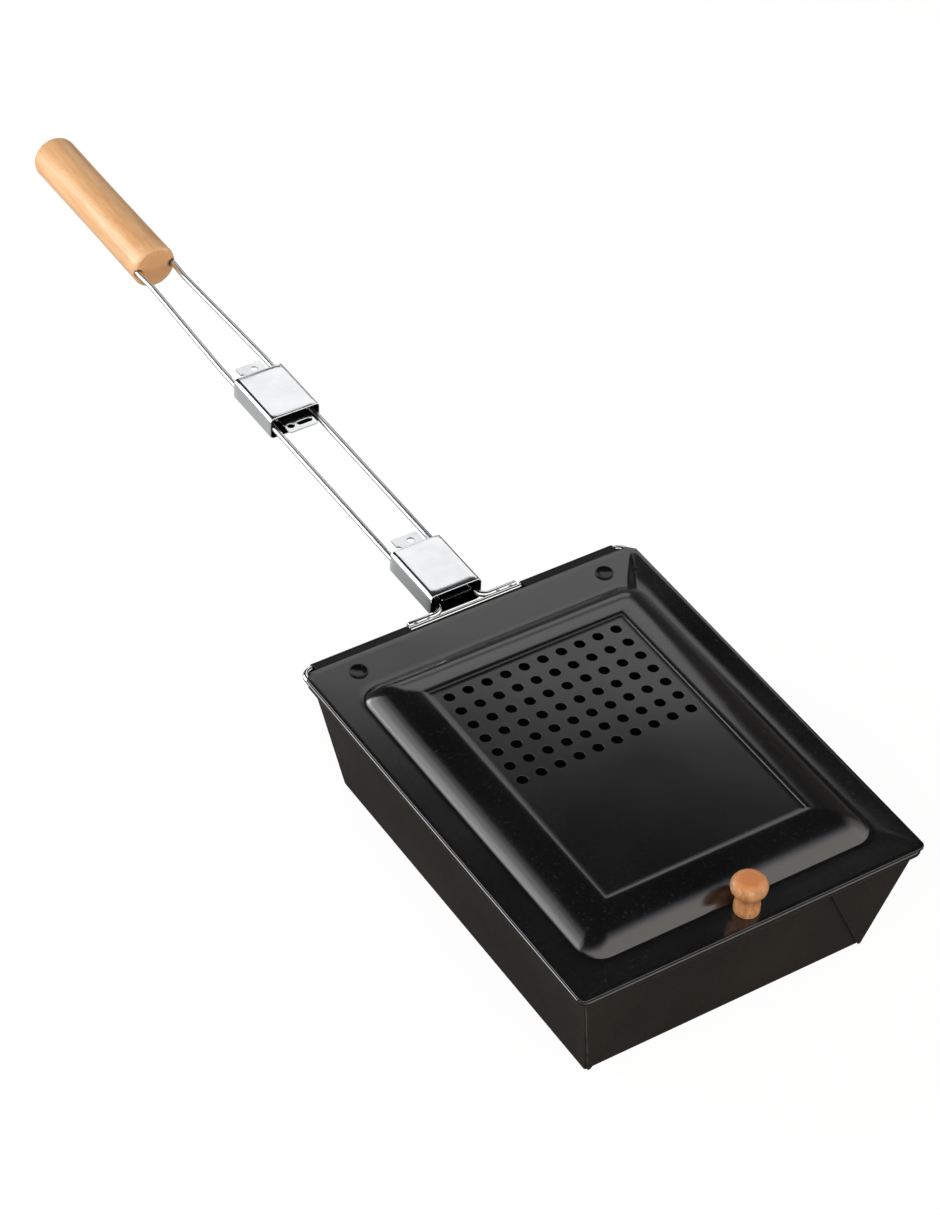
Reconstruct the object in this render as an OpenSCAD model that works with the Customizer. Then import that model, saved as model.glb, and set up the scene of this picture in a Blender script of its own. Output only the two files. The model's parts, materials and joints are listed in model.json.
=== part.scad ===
// Camping toaster: a folded sheet tray with a vented lid that turns on the back rim wire,
// and a wire handle in two sections that fold where two box sleeves slide back.
// The frame has its origin at the centre of the flat bottom, with +Z up and the handle along +Y.

/* [Tray] */
// Width of the flat bottom
bottom_w = 148; // [144:1:160]
// Length of the flat bottom
bottom_l = 201; // [190:1:212]
// How far each side wall leans out up to the height of the rim wire
flare_side = 12.3; // [9:0.1:14]
// How far the front and back walls lean out up to the height of the rim wire
flare_end = 11.4; // [9:0.1:13]
// Height of the rim wire's centre above the bottom
wire_z = 63.7; // [56:0.1:72]
// Thickness of the tray and lid sheet
sheet = 0.6; // [0.5:0.05:0.8]
// Angle between each folded corner flap's free edge and the tray's corner
flap_angle = 34; // [26:1:36]

/* [Rim wire and hinge] */
// Radius of every wire
wire_r = 1.5; // [1.3:0.05:1.7]
// Distance of the hinge wire behind the back wall
hinge_back = 5.4; // [5:0.1:7]
// Radius of the wire's bend at the back corners
back_bend = 5; // [4:0.5:8]
// Radius of the wire's bend at the front corners
front_bend = 3; // [2.6:0.1:5]
// Half of the gap between the two hinge barrels
notch_half = 31; // [28:0.5:36]
// Distance of each hinge barrel's outer end from the wire's corner bend
barrel_inset = 0.6; // [0.4:0.1:6]
// Depth of the hinge leaf under the lid
leaf_depth = 15; // [12:0.5:18]

/* [Lid] */
// Height of the lid's flat flange above the rim wire's centre
lid_rise = 3.8; // [3.6:0.05:4.4]
// Width of the folded edge round the lid
hem_w = 3.4; // [2.6:0.1:4.4]
// Distance from each side edge of the lid to the sunk panel
panel_side_in = 37.3; // [36:0.1:39]
// Distance from the lid's front edge to the sunk panel
panel_front_in = 38.8; // [38:0.1:42]
// Distance from the lid's back edge to the sunk panel
panel_back_in = 45.4; // [43:0.1:47]
// Width of the raised moulding round the panel
mould_w = 23; // [21:0.5:23]
// Height of the moulding's crest over the flange
mould_h = 9.1; // [7:0.1:10.5]
// Depth of the panel below the crest
panel_sink = 1.2; // [0.8:0.1:2]

/* [Vent holes] */
// Radius of a vent hole
vent_r = 2.7; // [1.8:0.1:3]
// Distance between vent holes
vent_pitch = 10; // [9:0.1:10.2]
// Number of vent holes across
vent_cols = 10; // [6:1:10]
// Number of vent holes along
vent_rows = 7; // [3:1:9]
// Distance from the panel's back edge to the first row
vent_edge = 6.8; // [5:0.1:9]

/* [Knob and rivets] */
// Distance of the knob behind the lid's front edge
knob_inset = 9.1; // [8.8:0.1:9.6]
// Radius of the knob's foot
knob_foot_r = 5.9; // [5.5:0.1:6.8]
// Radius of the knob's waist
knob_waist_r = 5.4; // [4.8:0.1:5.5]
// Radius of the knob's head
knob_head_r = 8.3; // [7.5:0.1:8.6]
// Radius of the rounding at the rim of the knob's head
knob_rim_r = 4.5; // [4:0.1:5]
// Height of the knob
knob_h = 19.2; // [18.5:0.1:23]
// Radius of the knob screw's shank
screw_r = 1.65; // [1.4:0.05:2]
// Length of the screw inside the knob
screw_in = 13; // [10:0.5:15]
// Distance of each rivet from the lid's side edge
rivet_side_in = 23; // [18:0.5:27]
// Distance of the rivets from the lid's back edge
rivet_back_in = 10.6; // [10:0.1:12.5]
// Radius of a rivet's head
rivet_r = 4.3; // [3.6:0.1:4.6]
// Height of a rivet's head
rivet_h = 0.9; // [0.8:0.05:1.2]
// Depth of the dish in a rivet's head
dish_h = 0.7; // [0.4:0.05:0.75]

/* [Folding handle] */
// Distance of the first fold behind the hinge wire
fold_back = 15.3; // [14.8:0.1:18]
// Distance between the two folds
fold_gap = 147.9; // [140:0.1:156]
// Distance of the handle wires from the middle
wire_half = 11.6; // [11.4:0.1:12.4]
// Distance of the short tray wires from the middle at the first fold
stub_half = 10.4; // [10:0.1:11]
// Length of a sleeve
sleeve_l = 36; // [33:0.5:38]
// Height of a sleeve
sleeve_h = 12.5; // [11.5:0.1:13]
// Thickness of the sleeve sheet
sleeve_t = 0.8; // [0.6:0.05:1]
// Radius of the sleeve's long edges
sleeve_corner = 3; // [2:0.1:3.5]
// Distance from a sleeve's front mouth to the fold inside it
mouth_in = 7; // [6.5:0.1:8]
// Thickness of the hinge plates
plate_t = 0.8; // [0.7:0.05:1]
// How far the outer hinge plate stands out of its sleeve's mouth
outer_tongue = 9; // [6:0.5:10]
// How far the inner hinge plate stands out of its sleeve's mouth
inner_tongue = 0.6; // [0:0.1:1]
// How far both plates stand out behind their sleeves
rear_tongue = 11; // [8:0.5:12]

/* [Grip] */
// Radius of the wooden grip
grip_r = 12; // [11.8:0.1:13]
// Length of the wooden grip
grip_l = 114; // [90:1:125]
// Distance from the second fold to the grip
grip_start = 134.5; // [130:0.5:145]
// Distance of the wires from the middle where they enter the grip
grip_wire_half = 9.9; // [9.4:0.1:10]
// Distance of the wires from the middle at the bend before the grip
bend_half = 9.3; // [9:0.1:10]
// Distance of that bend before the grip
bend_before = 13; // [10:0.5:16]
// Depth of the wires inside the grip
wire_in = 38; // [25:1:50]

/* [Hidden] */
$fn = 72;
// Clearances
run_gap = 0.08;
fit_gap = 0.02;
knob_gap = 0.05;
seat_gap = 0.05;
// Rolled bead round the wire
bead_r = wire_r + sheet;
wall_x = bottom_w / 2 + flare_side;
wall_y = bottom_l / 2 + flare_end;
rim_x = wall_x + wire_r + fit_gap;
rim_y = wall_y + wire_r + fit_gap;
hinge_y = wall_y + hinge_back;
bead_stop = hinge_y - back_bend - 4.3;
// Hem of the back wall, under the gap between lid and tray
hem_r = 1.2;
hem_z = wire_z - 1.2;
hem_y = bottom_l / 2 + flare_end * hem_z / wire_z - sheet + hem_r;
hem_half = rim_x - 9;
// Corner flaps: two layers of sheet folded flat against the end walls
flap_t = 2 * sheet;
flap_lift = 0.05;
lean_end = atan(flare_end / wire_z);
lean_side = atan(flare_side / wire_z);
flap_top = (wire_z - bead_r - 0.5) / cos(lean_end);
// Short wires lying along the hinge wire
stub_y = hinge_y + 2 * wire_r + fit_gap;
stub_start = notch_half - 1.5;
stub_round = 5;
weld_l = 3;
weld_at = [-26, -19, 19, 26];
elbow = 2;
round_from = 80;
ball_extra = 0.065;
ball_cut = 0.1;
weld_w = 1.6;
// Lid levels
lid_top = wire_z + lid_rise;
lid_under = lid_top - sheet;
hem_under = wire_z + bead_r + seat_gap;
lid_x = rim_x + bead_r + 0.1;
lid_front = rim_y + bead_r + 0.1;
lid_back = hinge_y - 4.7;
lid_hem_back = hinge_y - 7.6;
lid_round = 3;
panel_half_w = lid_x - panel_side_in;
panel_front = -lid_front + panel_front_in;
panel_back = lid_back - panel_back_in;
hem_cut = 10;
// Moulding arcs: a wide one over the crest and a tight one down to the flange
arc_top_r = 40;
arc_split = 0.55 * mould_w;
arc_split_a = asin(arc_split / arc_top_r);
arc_split_z = mould_h - arc_top_r + sqrt(arc_top_r * arc_top_r - arc_split * arc_split);
arc_dx = mould_w - arc_split;
arc_edge_r = (arc_dx * arc_dx + arc_split_z * arc_split_z)
    / (2 * (arc_split_z * cos(arc_split_a) - arc_dx * sin(arc_split_a)));
arc_edge_x = arc_split - arc_edge_r * sin(arc_split_a);
arc_edge_z = arc_split_z - arc_edge_r * cos(arc_split_a);
// The moulding's foot has rounder corners than its crest
mould_corner = 11;
mould_in = mould_w - mould_corner;
mould_x = panel_half_w + mould_in;
panel_top = lid_top + mould_h - panel_sink;
panel_l = panel_back - panel_front;
vent_y = panel_back - vent_edge - (vent_rows - 1) * vent_pitch;
// Hinge barrels on the wire
barrel_end = rim_x - back_bend - barrel_inset;
barrel_in = wire_r + run_gap;
barrel_t = sheet + 0.17;
barrel_out = barrel_in + barrel_t;
strap_a = 32;
strap_b = 53;
strap_out = barrel_out - 0.1;
strap_in = barrel_out - 0.35;
// Rivets
rivet_x = lid_x - rivet_side_in;
rivet_y = lid_back - rivet_back_in;
rivet_shank = 1.6;
rivet_tail_r = 2.6;
rivet_tail_h = 0.8;
// Knob and its screw
knob_y = -lid_front + knob_inset;
washer_r = 4.4;
washer_t = 0.6;
head_r = 3.2;
head_h = 1.9;
slot_w = 0.9;
slot_d = 0.9;
// Handle
fold_1 = hinge_y + fold_back;
fold_2 = fold_1 + fold_gap;
pin_in = 4.6;
wire_from = 9;
sleeve_w = 2 * (wire_half + wire_r + 0.1 + sleeve_t);
barrel_r = wire_r + run_gap + plate_t;
barrel_half = stub_half - elbow - 0.2;
curl_r = wire_r + fit_gap + plate_t;
curl_open = 0.8;
curl_l = 10;
plate_z = wire_r + run_gap;
tongue_half = 8;
neck_half = 8.6;
rear_half = 7;
body_end = 27;
tongue_hole = 1.9;
rear_hole = 1.8;
slot_r = 1.6;
slot_half = 2.6;
notch_r = 2.2;
straight_to = 46;
grip_lead = 2;
grip_near_bevel = 1.6;
grip_far_round = 5;
// Colours
coat = [0.16, 0.16, 0.17];
coat_2 = [0.22, 0.22, 0.23];
chrome = [0.80, 0.82, 0.84];
chrome_2 = [0.70, 0.73, 0.76];
wood = [0.86, 0.68, 0.46];
steel = [0.60, 0.62, 0.64];

function turn(a, b) = atan2(a[0] * b[1] - a[1] * b[0], a[0] * b[0] + a[1] * b[1]);
function turn_at(p, i) = turn(p[i] - p[i - 1], p[i + 1] - p[i]);
function is_round(p, i) = abs(turn_at(p, i)) > round_from;
function round_r(i, first) = i == 1 ? first : elbow;
function corner_cut(p, i, first) = is_round(p, i) ? round_r(i, first) : ball_cut;

// Straight wire along X from x0 to x1
module wire_x(x0, x1, r) {
    translate([x0, 0, 0])
        rotate([0, 90, 0])
            cylinder(r = r, h = x1 - x0);
}

// Wire that follows flat points: right angles are round elbows, the first one with its own
// radius, and slight bends are ball joints
module bent_wire(p, r, first = elbow) {
    last = len(p) - 1;
    for (i = [0 : last - 1]) {
        d = (p[i + 1] - p[i]) / norm(p[i + 1] - p[i]);
        q0 = p[i] + d * (i > 0 ? corner_cut(p, i, first) : 0);
        q1 = p[i + 1] - d * (i < last - 1 ? corner_cut(p, i + 1, first) : 0);
        translate([q0[0], q0[1], 0])
            rotate([0, 0, atan2(d[1], d[0])])
                wire_x(0, norm(q1 - q0), r);
    }
    for (i = [1 : last - 1]) {
        d = (p[i] - p[i - 1]) / norm(p[i] - p[i - 1]);
        w = turn_at(p, i);
        n = sign(w) * [-d[1], d[0]];
        e = round_r(i, first);
        c = p[i] - d * e + n * e;
        if (is_round(p, i)) {
            translate([c[0], c[1], 0])
                rotate([0, 0, atan2(-n[1], -n[0]) + min(w, 0)])
                    rotate_extrude(angle = abs(w))
                        translate([e, 0])
                            circle(r = r);
        } else {
            translate([p[i][0], p[i][1], 0])
                sphere(r = r + ball_extra);
        }
    }
}

// Solid with leaning walls, from one height to another, grown sideways by g
module wedge_block(z0, z1, g) {
    x0 = bottom_w / 2 + flare_side * z0 / wire_z + g;
    x1 = bottom_w / 2 + flare_side * z1 / wire_z + g;
    y0 = bottom_l / 2 + flare_end * z0 / wire_z + g;
    y1 = bottom_l / 2 + flare_end * z1 / wire_z + g;
    intersection() {
        rotate([90, 0, 0])
            linear_extrude(height = 4 * bottom_l, center = true)
                polygon([[-x0, z0], [x0, z0], [x1, z1], [-x1, z1]]);
        rotate([90, 0, 90])
            linear_extrude(height = 4 * bottom_w, center = true)
                polygon([[-y0, z0], [y0, z0], [y1, z1], [-y1, z1]]);
    }
}

// Three quarters of a rolled edge: its inner end stands on the wall's top
module roll(r_out, r_in) {
    difference() {
        circle(r = r_out);
        circle(r = r_in);
        translate([-2 * r_out, -2 * r_out])
            square([2 * r_out, 2 * r_out]);
    }
}

// Sweeps a section along the two sides and the front of the rim
module rim_sweep(back_to) {
    for (s = [-1, 1]) {
        translate([s * rim_x, back_to, wire_z])
            rotate([90, 0, 0])
                linear_extrude(height = back_to + rim_y - front_bend)
                    mirror([s < 0 ? 1 : 0, 0, 0])
                        children();
        translate([s * (rim_x - front_bend), -rim_y + front_bend, wire_z])
            mirror([s < 0 ? 1 : 0, 0, 0])
                rotate([0, 0, -90])
                    rotate_extrude(angle = 90)
                        translate([front_bend, 0])
                            children();
    }
    translate([rim_x - front_bend, -rim_y, wire_z])
        rotate([90, 0, -90])
            linear_extrude(height = 2 * (rim_x - front_bend))
                children();
}

module rim_wire_solid(r) {
    rim_sweep(hinge_y - back_bend)
        circle(r = r);
    for (s = [-1, 1]) {
        translate([s * (rim_x - back_bend), hinge_y - back_bend, wire_z])
            mirror([s < 0 ? 1 : 0, 0, 0])
                rotate_extrude(angle = 90)
                    translate([back_bend, 0])
                        circle(r = r);
    }
    translate([0, hinge_y, wire_z])
        wire_x(-rim_x + back_bend, rim_x - back_bend, r);
}

// Flat bottom and the four leaning walls
module tray_pan() {
    color(coat)
        difference() {
            union() {
                wedge_block(0, hem_z, 0);
                intersection() {
                    wedge_block(hem_z, wire_z, 0);
                    translate([-rim_x, -2 * rim_y, 0])
                        cube([2 * rim_x, 2 * rim_y + bead_stop, 2 * wire_z]);
                }
            }
            wedge_block(sheet, wire_z + 1, -sheet);
            rim_wire_solid(wire_r + fit_gap);
        }
}

// Rolled edge round the wire on the sides and the front
module tray_bead() {
    color(coat_2)
        rim_sweep(bead_stop)
            roll(bead_r, wire_r + fit_gap);
}

// Rolled edge of the back wall, lower than the wire
module tray_back_hem() {
    color(coat_2)
        translate([-hem_half, hem_y, hem_z])
            rotate([90, 0, 90])
                linear_extrude(height = 2 * hem_half)
                    roll(hem_r, hem_r - sheet);
}

// Folded sheet left over at the corners, lying flat on the front and back walls
module tray_corner_folds() {
    color(coat_2)
        for (ye = [-1, 1]) {
            for (xe = [-1, 1]) {
                mirror([xe < 0 ? 1 : 0, 0, 0])
                    mirror([0, ye < 0 ? 1 : 0, 0])
                        translate([bottom_w / 2, bottom_l / 2 + flap_lift, 0])
                            rotate([-lean_end, 0, 0])
                                rotate([90, 0, 180])
                                    linear_extrude(height = flap_t)
                                        polygon([
                                            [0.8, 1.5],
                                            [-flap_top * tan(lean_side) + 0.6, flap_top],
                                            [flap_top * tan(flap_angle - lean_side), flap_top],
                                            [2, 1.5]
                                        ]);
            }
        }
}

// Wire frame in the rim, which is also the lid's hinge pin
module rim_wire() {
    color(chrome)
        rim_wire_solid(wire_r);
}

// Short wires from the hinge wire to the first fold, with ends turned inward as pivots
module stub(s) {
    translate([0, 0, wire_z])
        bent_wire([
            [s * stub_start, stub_y],
            [s * stub_half, stub_y],
            [s * stub_half, fold_1],
            [s * pin_in, fold_1]
        ], wire_r, stub_round);
}

module stub_left() {
    color(chrome)
        stub(-1);
}

module stub_right() {
    color(chrome)
        stub(1);
}

// Welds that join the short wires to the hinge wire
module stub_welds() {
    color(steel)
        for (x = weld_at) {
            difference() {
                translate([x - weld_l / 2, hinge_y + wire_r - weld_w / 2, wire_z - wire_r * 0.75])
                    cube([weld_l, weld_w, wire_r * 1.5]);
                for (y = [hinge_y, stub_y]) {
                    translate([x, y, wire_z])
                        wire_x(-weld_l, weld_l, wire_r);
                }
            }
        }
}

// Outline of the lid seen from above, taken in by g
module lid_outline(g) {
    difference() {
        union() {
            translate([-lid_x + g, -lid_front + lid_round])
                square([2 * (lid_x - g), lid_front - lid_round + lid_back]);
            translate([-lid_x + lid_round, -lid_front + g])
                square([2 * (lid_x - lid_round), lid_round + 1]);
            for (s = [-1, 1]) {
                translate([s * (lid_x - lid_round), -lid_front + lid_round])
                    circle(r = lid_round - g);
            }
        }
        for (s = [-1, 1]) {
            translate([s * lid_x, lid_back])
                rotate([0, 0, 45])
                    square([hem_cut / 2, hem_cut / 2], center = true);
        }
    }
}

// Moulding profile, measured out from the panel edge; t takes the sheet off
module mould_profile(t) {
    ca = cos(arc_split_a);
    sa = sin(arc_split_a);
    intersection() {
        union() {
            intersection() {
                translate([0, mould_h - arc_top_r])
                    circle(r = arc_top_r - t, $fn = 180);
                polygon([[0, -mould_h], [arc_edge_x, -mould_h], [arc_edge_x, arc_edge_z],
                    [arc_edge_x + 2 * mould_w * sa, arc_edge_z + 2 * mould_w * ca], [0, 3 * mould_w]]);
            }
            intersection() {
                translate([arc_edge_x, arc_edge_z])
                    circle(r = arc_edge_r - t, $fn = 120);
                polygon([[arc_edge_x, -mould_h - mould_w], [arc_edge_x, arc_edge_z],
                    [arc_edge_x + 2 * mould_w * sa, arc_edge_z + 2 * mould_w * ca],
                    [3 * mould_w, 2 * mould_w], [3 * mould_w, -mould_h - mould_w]]);
            }
        }
        translate([0, -sheet - 0.01])
            square([2 * mould_w, mould_h + 2 * sheet]);
    }
}

// Raised moulding with its panel area, as a solid
module mould_solid(t) {
    translate([0, 0, lid_top]) {
        difference() {
            intersection() {
                mould_sides(t);
                mould_ends(t);
            }
            for (s = [-1, 1]) {
                for (e = [-1, 1]) {
                    translate([s * mould_x, e < 0 ? panel_front - mould_in : panel_back + mould_in, 0])
                        mirror([s < 0 ? 1 : 0, 0, 0])
                            mirror([0, e < 0 ? 1 : 0, 0])
                                translate([0, 0, -2 * sheet])
                                    cube([mould_w, mould_w, 2 * mould_h]);
                }
            }
        }
        for (s = [-1, 1]) {
            for (e = [-1, 1]) {
                translate([s * mould_x, e < 0 ? panel_front - mould_in : panel_back + mould_in, 0])
                    mirror([s < 0 ? 1 : 0, 0, 0])
                        mirror([0, e < 0 ? 1 : 0, 0])
                            rotate_extrude(angle = 90)
                                intersection() {
                                    translate([-mould_in, 0])
                                        mould_profile(t);
                                    translate([0, -2 * sheet])
                                        square([mould_w, 2 * mould_h]);
                                }
            }
        }
    }
}

// Side slopes of the moulding with the block between them, over the whole length
module mould_sides(t) {
    for (s = [-1, 1]) {
        translate([s * panel_half_w, panel_back + mould_w, 0])
            rotate([90, 0, 0])
                linear_extrude(height = panel_l + 2 * mould_w)
                    mirror([s < 0 ? 1 : 0, 0, 0])
                        mould_profile(t);
    }
    translate([-panel_half_w, panel_front - mould_w, -sheet - 0.01])
        cube([2 * panel_half_w, panel_l + 2 * mould_w, mould_h - t + sheet + 0.01]);
}

// Front and back slopes of the moulding with the block between them, over the whole width
module mould_ends(t) {
    for (s = [-1, 1]) {
        translate([-panel_half_w - mould_w, s < 0 ? panel_front : panel_back, 0])
            rotate([90, 0, 90])
                linear_extrude(height = 2 * (panel_half_w + mould_w))
                    mirror([s < 0 ? 1 : 0, 0, 0])
                        mould_profile(t);
    }
    translate([-panel_half_w - mould_w, panel_front, -sheet - 0.01])
        cube([2 * (panel_half_w + mould_w), panel_l, mould_h - t + sheet + 0.01]);
}

// Lid sheet: flange with a folded edge, raised moulding and sunk panel with vent holes
module lid_sheet() {
    color(coat)
        difference() {
            union() {
                translate([0, 0, lid_under])
                    linear_extrude(height = sheet)
                        lid_outline(0);
                translate([0, 0, hem_under])
                    linear_extrude(height = lid_under - hem_under)
                        difference() {
                            lid_outline(0);
                            lid_hem_inner(hem_w);
                            translate([-2 * lid_x, lid_hem_back])
                                square([4 * lid_x, hem_cut]);
                        }
                intersection() {
                    mould_solid(0);
                    translate([-lid_x, -lid_front, lid_top])
                        cube([2 * lid_x, 2 * lid_front, 2 * mould_h]);
                }
            }
            // Slot of the folded edge
            translate([0, 0, hem_under + sheet])
                linear_extrude(height = lid_under - hem_under - sheet)
                    difference() {
                        lid_hem_inner(sheet);
                        lid_hem_inner(hem_w);
                    }
            // Sunk panel
            translate([-panel_half_w, panel_front, panel_top])
                cube([2 * panel_half_w, panel_l, mould_h]);
            // Hollow under the moulding and the panel
            difference() {
                mould_solid(sheet);
                translate([-panel_half_w - sheet, panel_front - sheet, panel_top - sheet])
                    cube([2 * (panel_half_w + sheet), panel_l + 2 * sheet, mould_h]);
            }
            vents();
            for (s = [-1, 1]) {
                translate([s * rivet_x, rivet_y, lid_under - 1])
                    cylinder(r = rivet_shank + fit_gap, h = sheet + 2);
            }
            translate([0, knob_y, lid_under - 1])
                cylinder(r = screw_r + knob_gap, h = sheet + 2);
        }
}

// Inside of the folded edge, open to the back
module lid_hem_inner(g) {
    translate([-lid_x + g, -lid_front + g])
        square([2 * (lid_x - g), 2 * lid_front]);
}

module vents() {
    for (i = [0 : vent_cols - 1]) {
        for (j = [0 : vent_rows - 1]) {
            translate([(i - (vent_cols - 1) / 2) * vent_pitch, vent_y + j * vent_pitch,
                panel_top - 2 * sheet])
                cylinder(r = vent_r, h = 3 * sheet, $fn = 24);
        }
    }
}

// Hinge leaf under the lid, with its barrel rolled round the hinge wire
module hinge_leaf(s) {
    leaf_z = lid_under - wire_z - seat_gap;
    barrel_l = barrel_end - notch_half;
    difference() {
        translate([s > 0 ? notch_half : -barrel_end, hinge_y, wire_z]) {
            wire_x(0, barrel_l, barrel_out);
            rotate([90, 0, 90])
                linear_extrude(height = barrel_l)
                    polygon([
                        [-4.6 - leaf_depth, leaf_z - sheet],
                        [-4.6 - leaf_depth, leaf_z],
                        [-4.4, leaf_z],
                        [-strap_out * sin(strap_a), strap_out * cos(strap_a)],
                        [-strap_in * sin(strap_b), strap_in * cos(strap_b)],
                        [-4.4, leaf_z - sheet]
                    ]);
        }
        translate([0, hinge_y, wire_z])
            wire_x(-rim_x, rim_x, barrel_in);
        translate([s * rivet_x, rivet_y, lid_under - 4])
            cylinder(r = rivet_shank + fit_gap, h = 8);
    }
}

module lid_hinge_left() {
    color(coat_2)
        hinge_leaf(-1);
}

module lid_hinge_right() {
    color(coat_2)
        hinge_leaf(1);
}

// Rivets with dished heads that hold the hinge leaves to the lid
module lid_rivets() {
    dish_r = rivet_r - 0.5;
    ball_r = (dish_r * dish_r + dish_h * dish_h) / (2 * dish_h);
    tail_z = lid_under - seat_gap - sheet;
    color(steel)
        for (s = [-1, 1]) {
            translate([s * rivet_x, rivet_y, 0]) {
                difference() {
                    translate([0, 0, lid_top])
                        cylinder(r = rivet_r, h = rivet_h);
                    translate([0, 0, lid_top + rivet_h - dish_h + ball_r])
                        sphere(r = ball_r);
                }
                translate([0, 0, tail_z])
                    cylinder(r = rivet_shank, h = lid_top - tail_z);
                translate([0, 0, tail_z - rivet_tail_h])
                    cylinder(r = rivet_tail_r, h = rivet_tail_h);
            }
        }
}

// Turned wooden knob
module knob() {
    head_c = knob_h - 0.1 - knob_rim_r;
    head_x = knob_head_r - knob_rim_r;
    waist_z = 7;
    run = knob_waist_r - head_x;
    rise = head_c - waist_z;
    waist_cut = 1.035 * (run * run + rise * rise - knob_rim_r * knob_rim_r) / (2 * (knob_rim_r - run));
    neck_z = head_c - rise * knob_rim_r / (waist_cut + knob_rim_r);
    color(wood)
        translate([0, knob_y, lid_top])
            difference() {
                rotate_extrude()
                    intersection() {
                        difference() {
                            union() {
                                square([knob_foot_r, waist_z + 1]);
                                square([head_x, knob_h]);
                                translate([0, waist_z])
                                    square([knob_head_r - 0.6, neck_z - waist_z]);
                                translate([head_x, head_c])
                                    circle(r = knob_rim_r);
                            }
                            translate([knob_waist_r + waist_cut, waist_z])
                                circle(r = waist_cut);
                        }
                        square([knob_head_r, knob_h - 0.2]);
                    }
                translate([0, 0, -1])
                    cylinder(r = screw_r + knob_gap, h = screw_in + 2);
            }
}

// Screw that holds the knob from below
module knob_screw() {
    head_z = lid_under - washer_t;
    color(steel)
        translate([0, knob_y, 0])
            difference() {
                union() {
                    translate([0, 0, head_z])
                        cylinder(r = screw_r, h = sheet + washer_t + screw_in);
                    translate([0, 0, head_z - head_h])
                        cylinder(r = head_r, h = head_h);
                }
                translate([-2 * head_r, -slot_w / 2, head_z - head_h - 1])
                    cube([4 * head_r, slot_w, 1 + slot_d]);
            }
}

module knob_washer() {
    color(steel)
        translate([0, knob_y, lid_under - washer_t])
            difference() {
                cylinder(r = washer_r, h = washer_t);
                translate([0, 0, -1])
                    cylinder(r = screw_r + fit_gap, h = washer_t + 2);
            }
}

// Hinge plate of one fold; the fold's axis is X at the local origin
module hinge_plate(tongue) {
    rear_end = sleeve_l - mouth_in + rear_tongue;
    difference() {
        union() {
            translate([-tongue_half, -mouth_in - tongue, plate_z])
                cube([2 * tongue_half, mouth_in + tongue + 1, plate_t]);
            translate([-neck_half, -1, plate_z])
                cube([2 * neck_half, wire_from + 1.5, plate_t]);
            translate([-wire_half, wire_from, plate_z])
                cube([2 * wire_half, curl_l, plate_t]);
            translate([-neck_half, wire_from + curl_l - 1, plate_z])
                cube([2 * neck_half, body_end - wire_from - curl_l + 1, plate_t]);
            translate([-rear_half, body_end - 1, plate_z])
                cube([2 * rear_half, rear_end - body_end + 1, plate_t]);
            // Barrels round the turned-in wire ends
            for (s = [-1, 1]) {
                translate([s > 0 ? pin_in : -barrel_half, 0, 0])
                    rotate([0, 90, 0])
                        cylinder(r = barrel_r, h = barrel_half - pin_in);
                // Curls that clasp the wires behind the fold
                translate([s * wire_half, wire_from, 0])
                    rotate([-90, 0, 0])
                        cylinder(r = curl_r, h = curl_l);
            }
        }
        for (s = [-1, 1]) {
            mirror([s < 0 ? 1 : 0, 0, 0])
                wire_x(pin_in - 1, barrel_half + 1, wire_r + run_gap);
            translate([s * wire_half, wire_from - 1, 0])
                rotate([-90, 0, 0])
                    cylinder(r = wire_r + fit_gap, h = curl_l + 2);
            translate([s > 0 ? wire_half + curl_open : -wire_half - curl_open - 3, wire_from - 1, -5])
                cube([3, curl_l + 2, 10]);
        }
        // Holes and notch that lighten the plate
        if (tongue > 4) {
            translate([-5, -mouth_in - tongue / 2, 0])
                cylinder(r = tongue_hole, h = 8);
            for (k = [-1, 1]) {
                translate([2.6 + k * slot_half, -mouth_in - tongue / 2, 0])
                    cylinder(r = slot_r, h = 8);
            }
            translate([2.6 - slot_half, -mouth_in - tongue / 2 - slot_r, 0])
                cube([2 * slot_half, 2 * slot_r, 8]);
        }
        translate([1.5, rear_end - 4.4, 0])
            cylinder(r = rear_hole, h = 8);
        translate([-rear_half, rear_end - 7.5, 0])
            cylinder(r = notch_r, h = 8);
    }
}

module place_1() {
    translate([0, fold_1, wire_z])
        children();
}

module place_2() {
    translate([0, fold_2, wire_z])
        children();
}

module inner_hinge_plate() {
    color(chrome_2)
        place_1()
            hinge_plate(inner_tongue);
}

module outer_hinge_plate() {
    color(chrome_2)
        place_2()
            hinge_plate(outer_tongue);
}

// Box sleeve that slides over a fold
module box_sleeve() {
    module outline(g) {
        w = sleeve_w / 2 - g;
        h = sleeve_h / 2 - g;
        c = sleeve_corner - g;
        square([2 * (w - c), 2 * h], center = true);
        square([2 * w, 2 * (h - c)], center = true);
        for (i = [-1, 1]) {
            for (j = [-1, 1]) {
                translate([i * (w - c), j * (h - c)])
                    circle(r = c);
            }
        }
    }
    translate([0, sleeve_l - mouth_in, 0])
        rotate([90, 0, 0])
            linear_extrude(height = sleeve_l)
                difference() {
                    outline(0);
                    outline(sleeve_t);
                }
}

module inner_sleeve() {
    color(chrome)
        place_1()
            box_sleeve();
}

module outer_sleeve() {
    color(chrome)
        place_2()
            box_sleeve();
}

// Wires between the folds, with front ends in the curls and rear ends turned inward
module middle_wire(s) {
    translate([0, 0, wire_z])
        bent_wire([
            [s * wire_half, fold_1 + wire_from],
            [s * wire_half, fold_2],
            [s * pin_in, fold_2]
        ], wire_r);
}

module middle_wire_left() {
    color(chrome)
        middle_wire(-1);
}

module middle_wire_right() {
    color(chrome)
        middle_wire(1);
}

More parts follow.
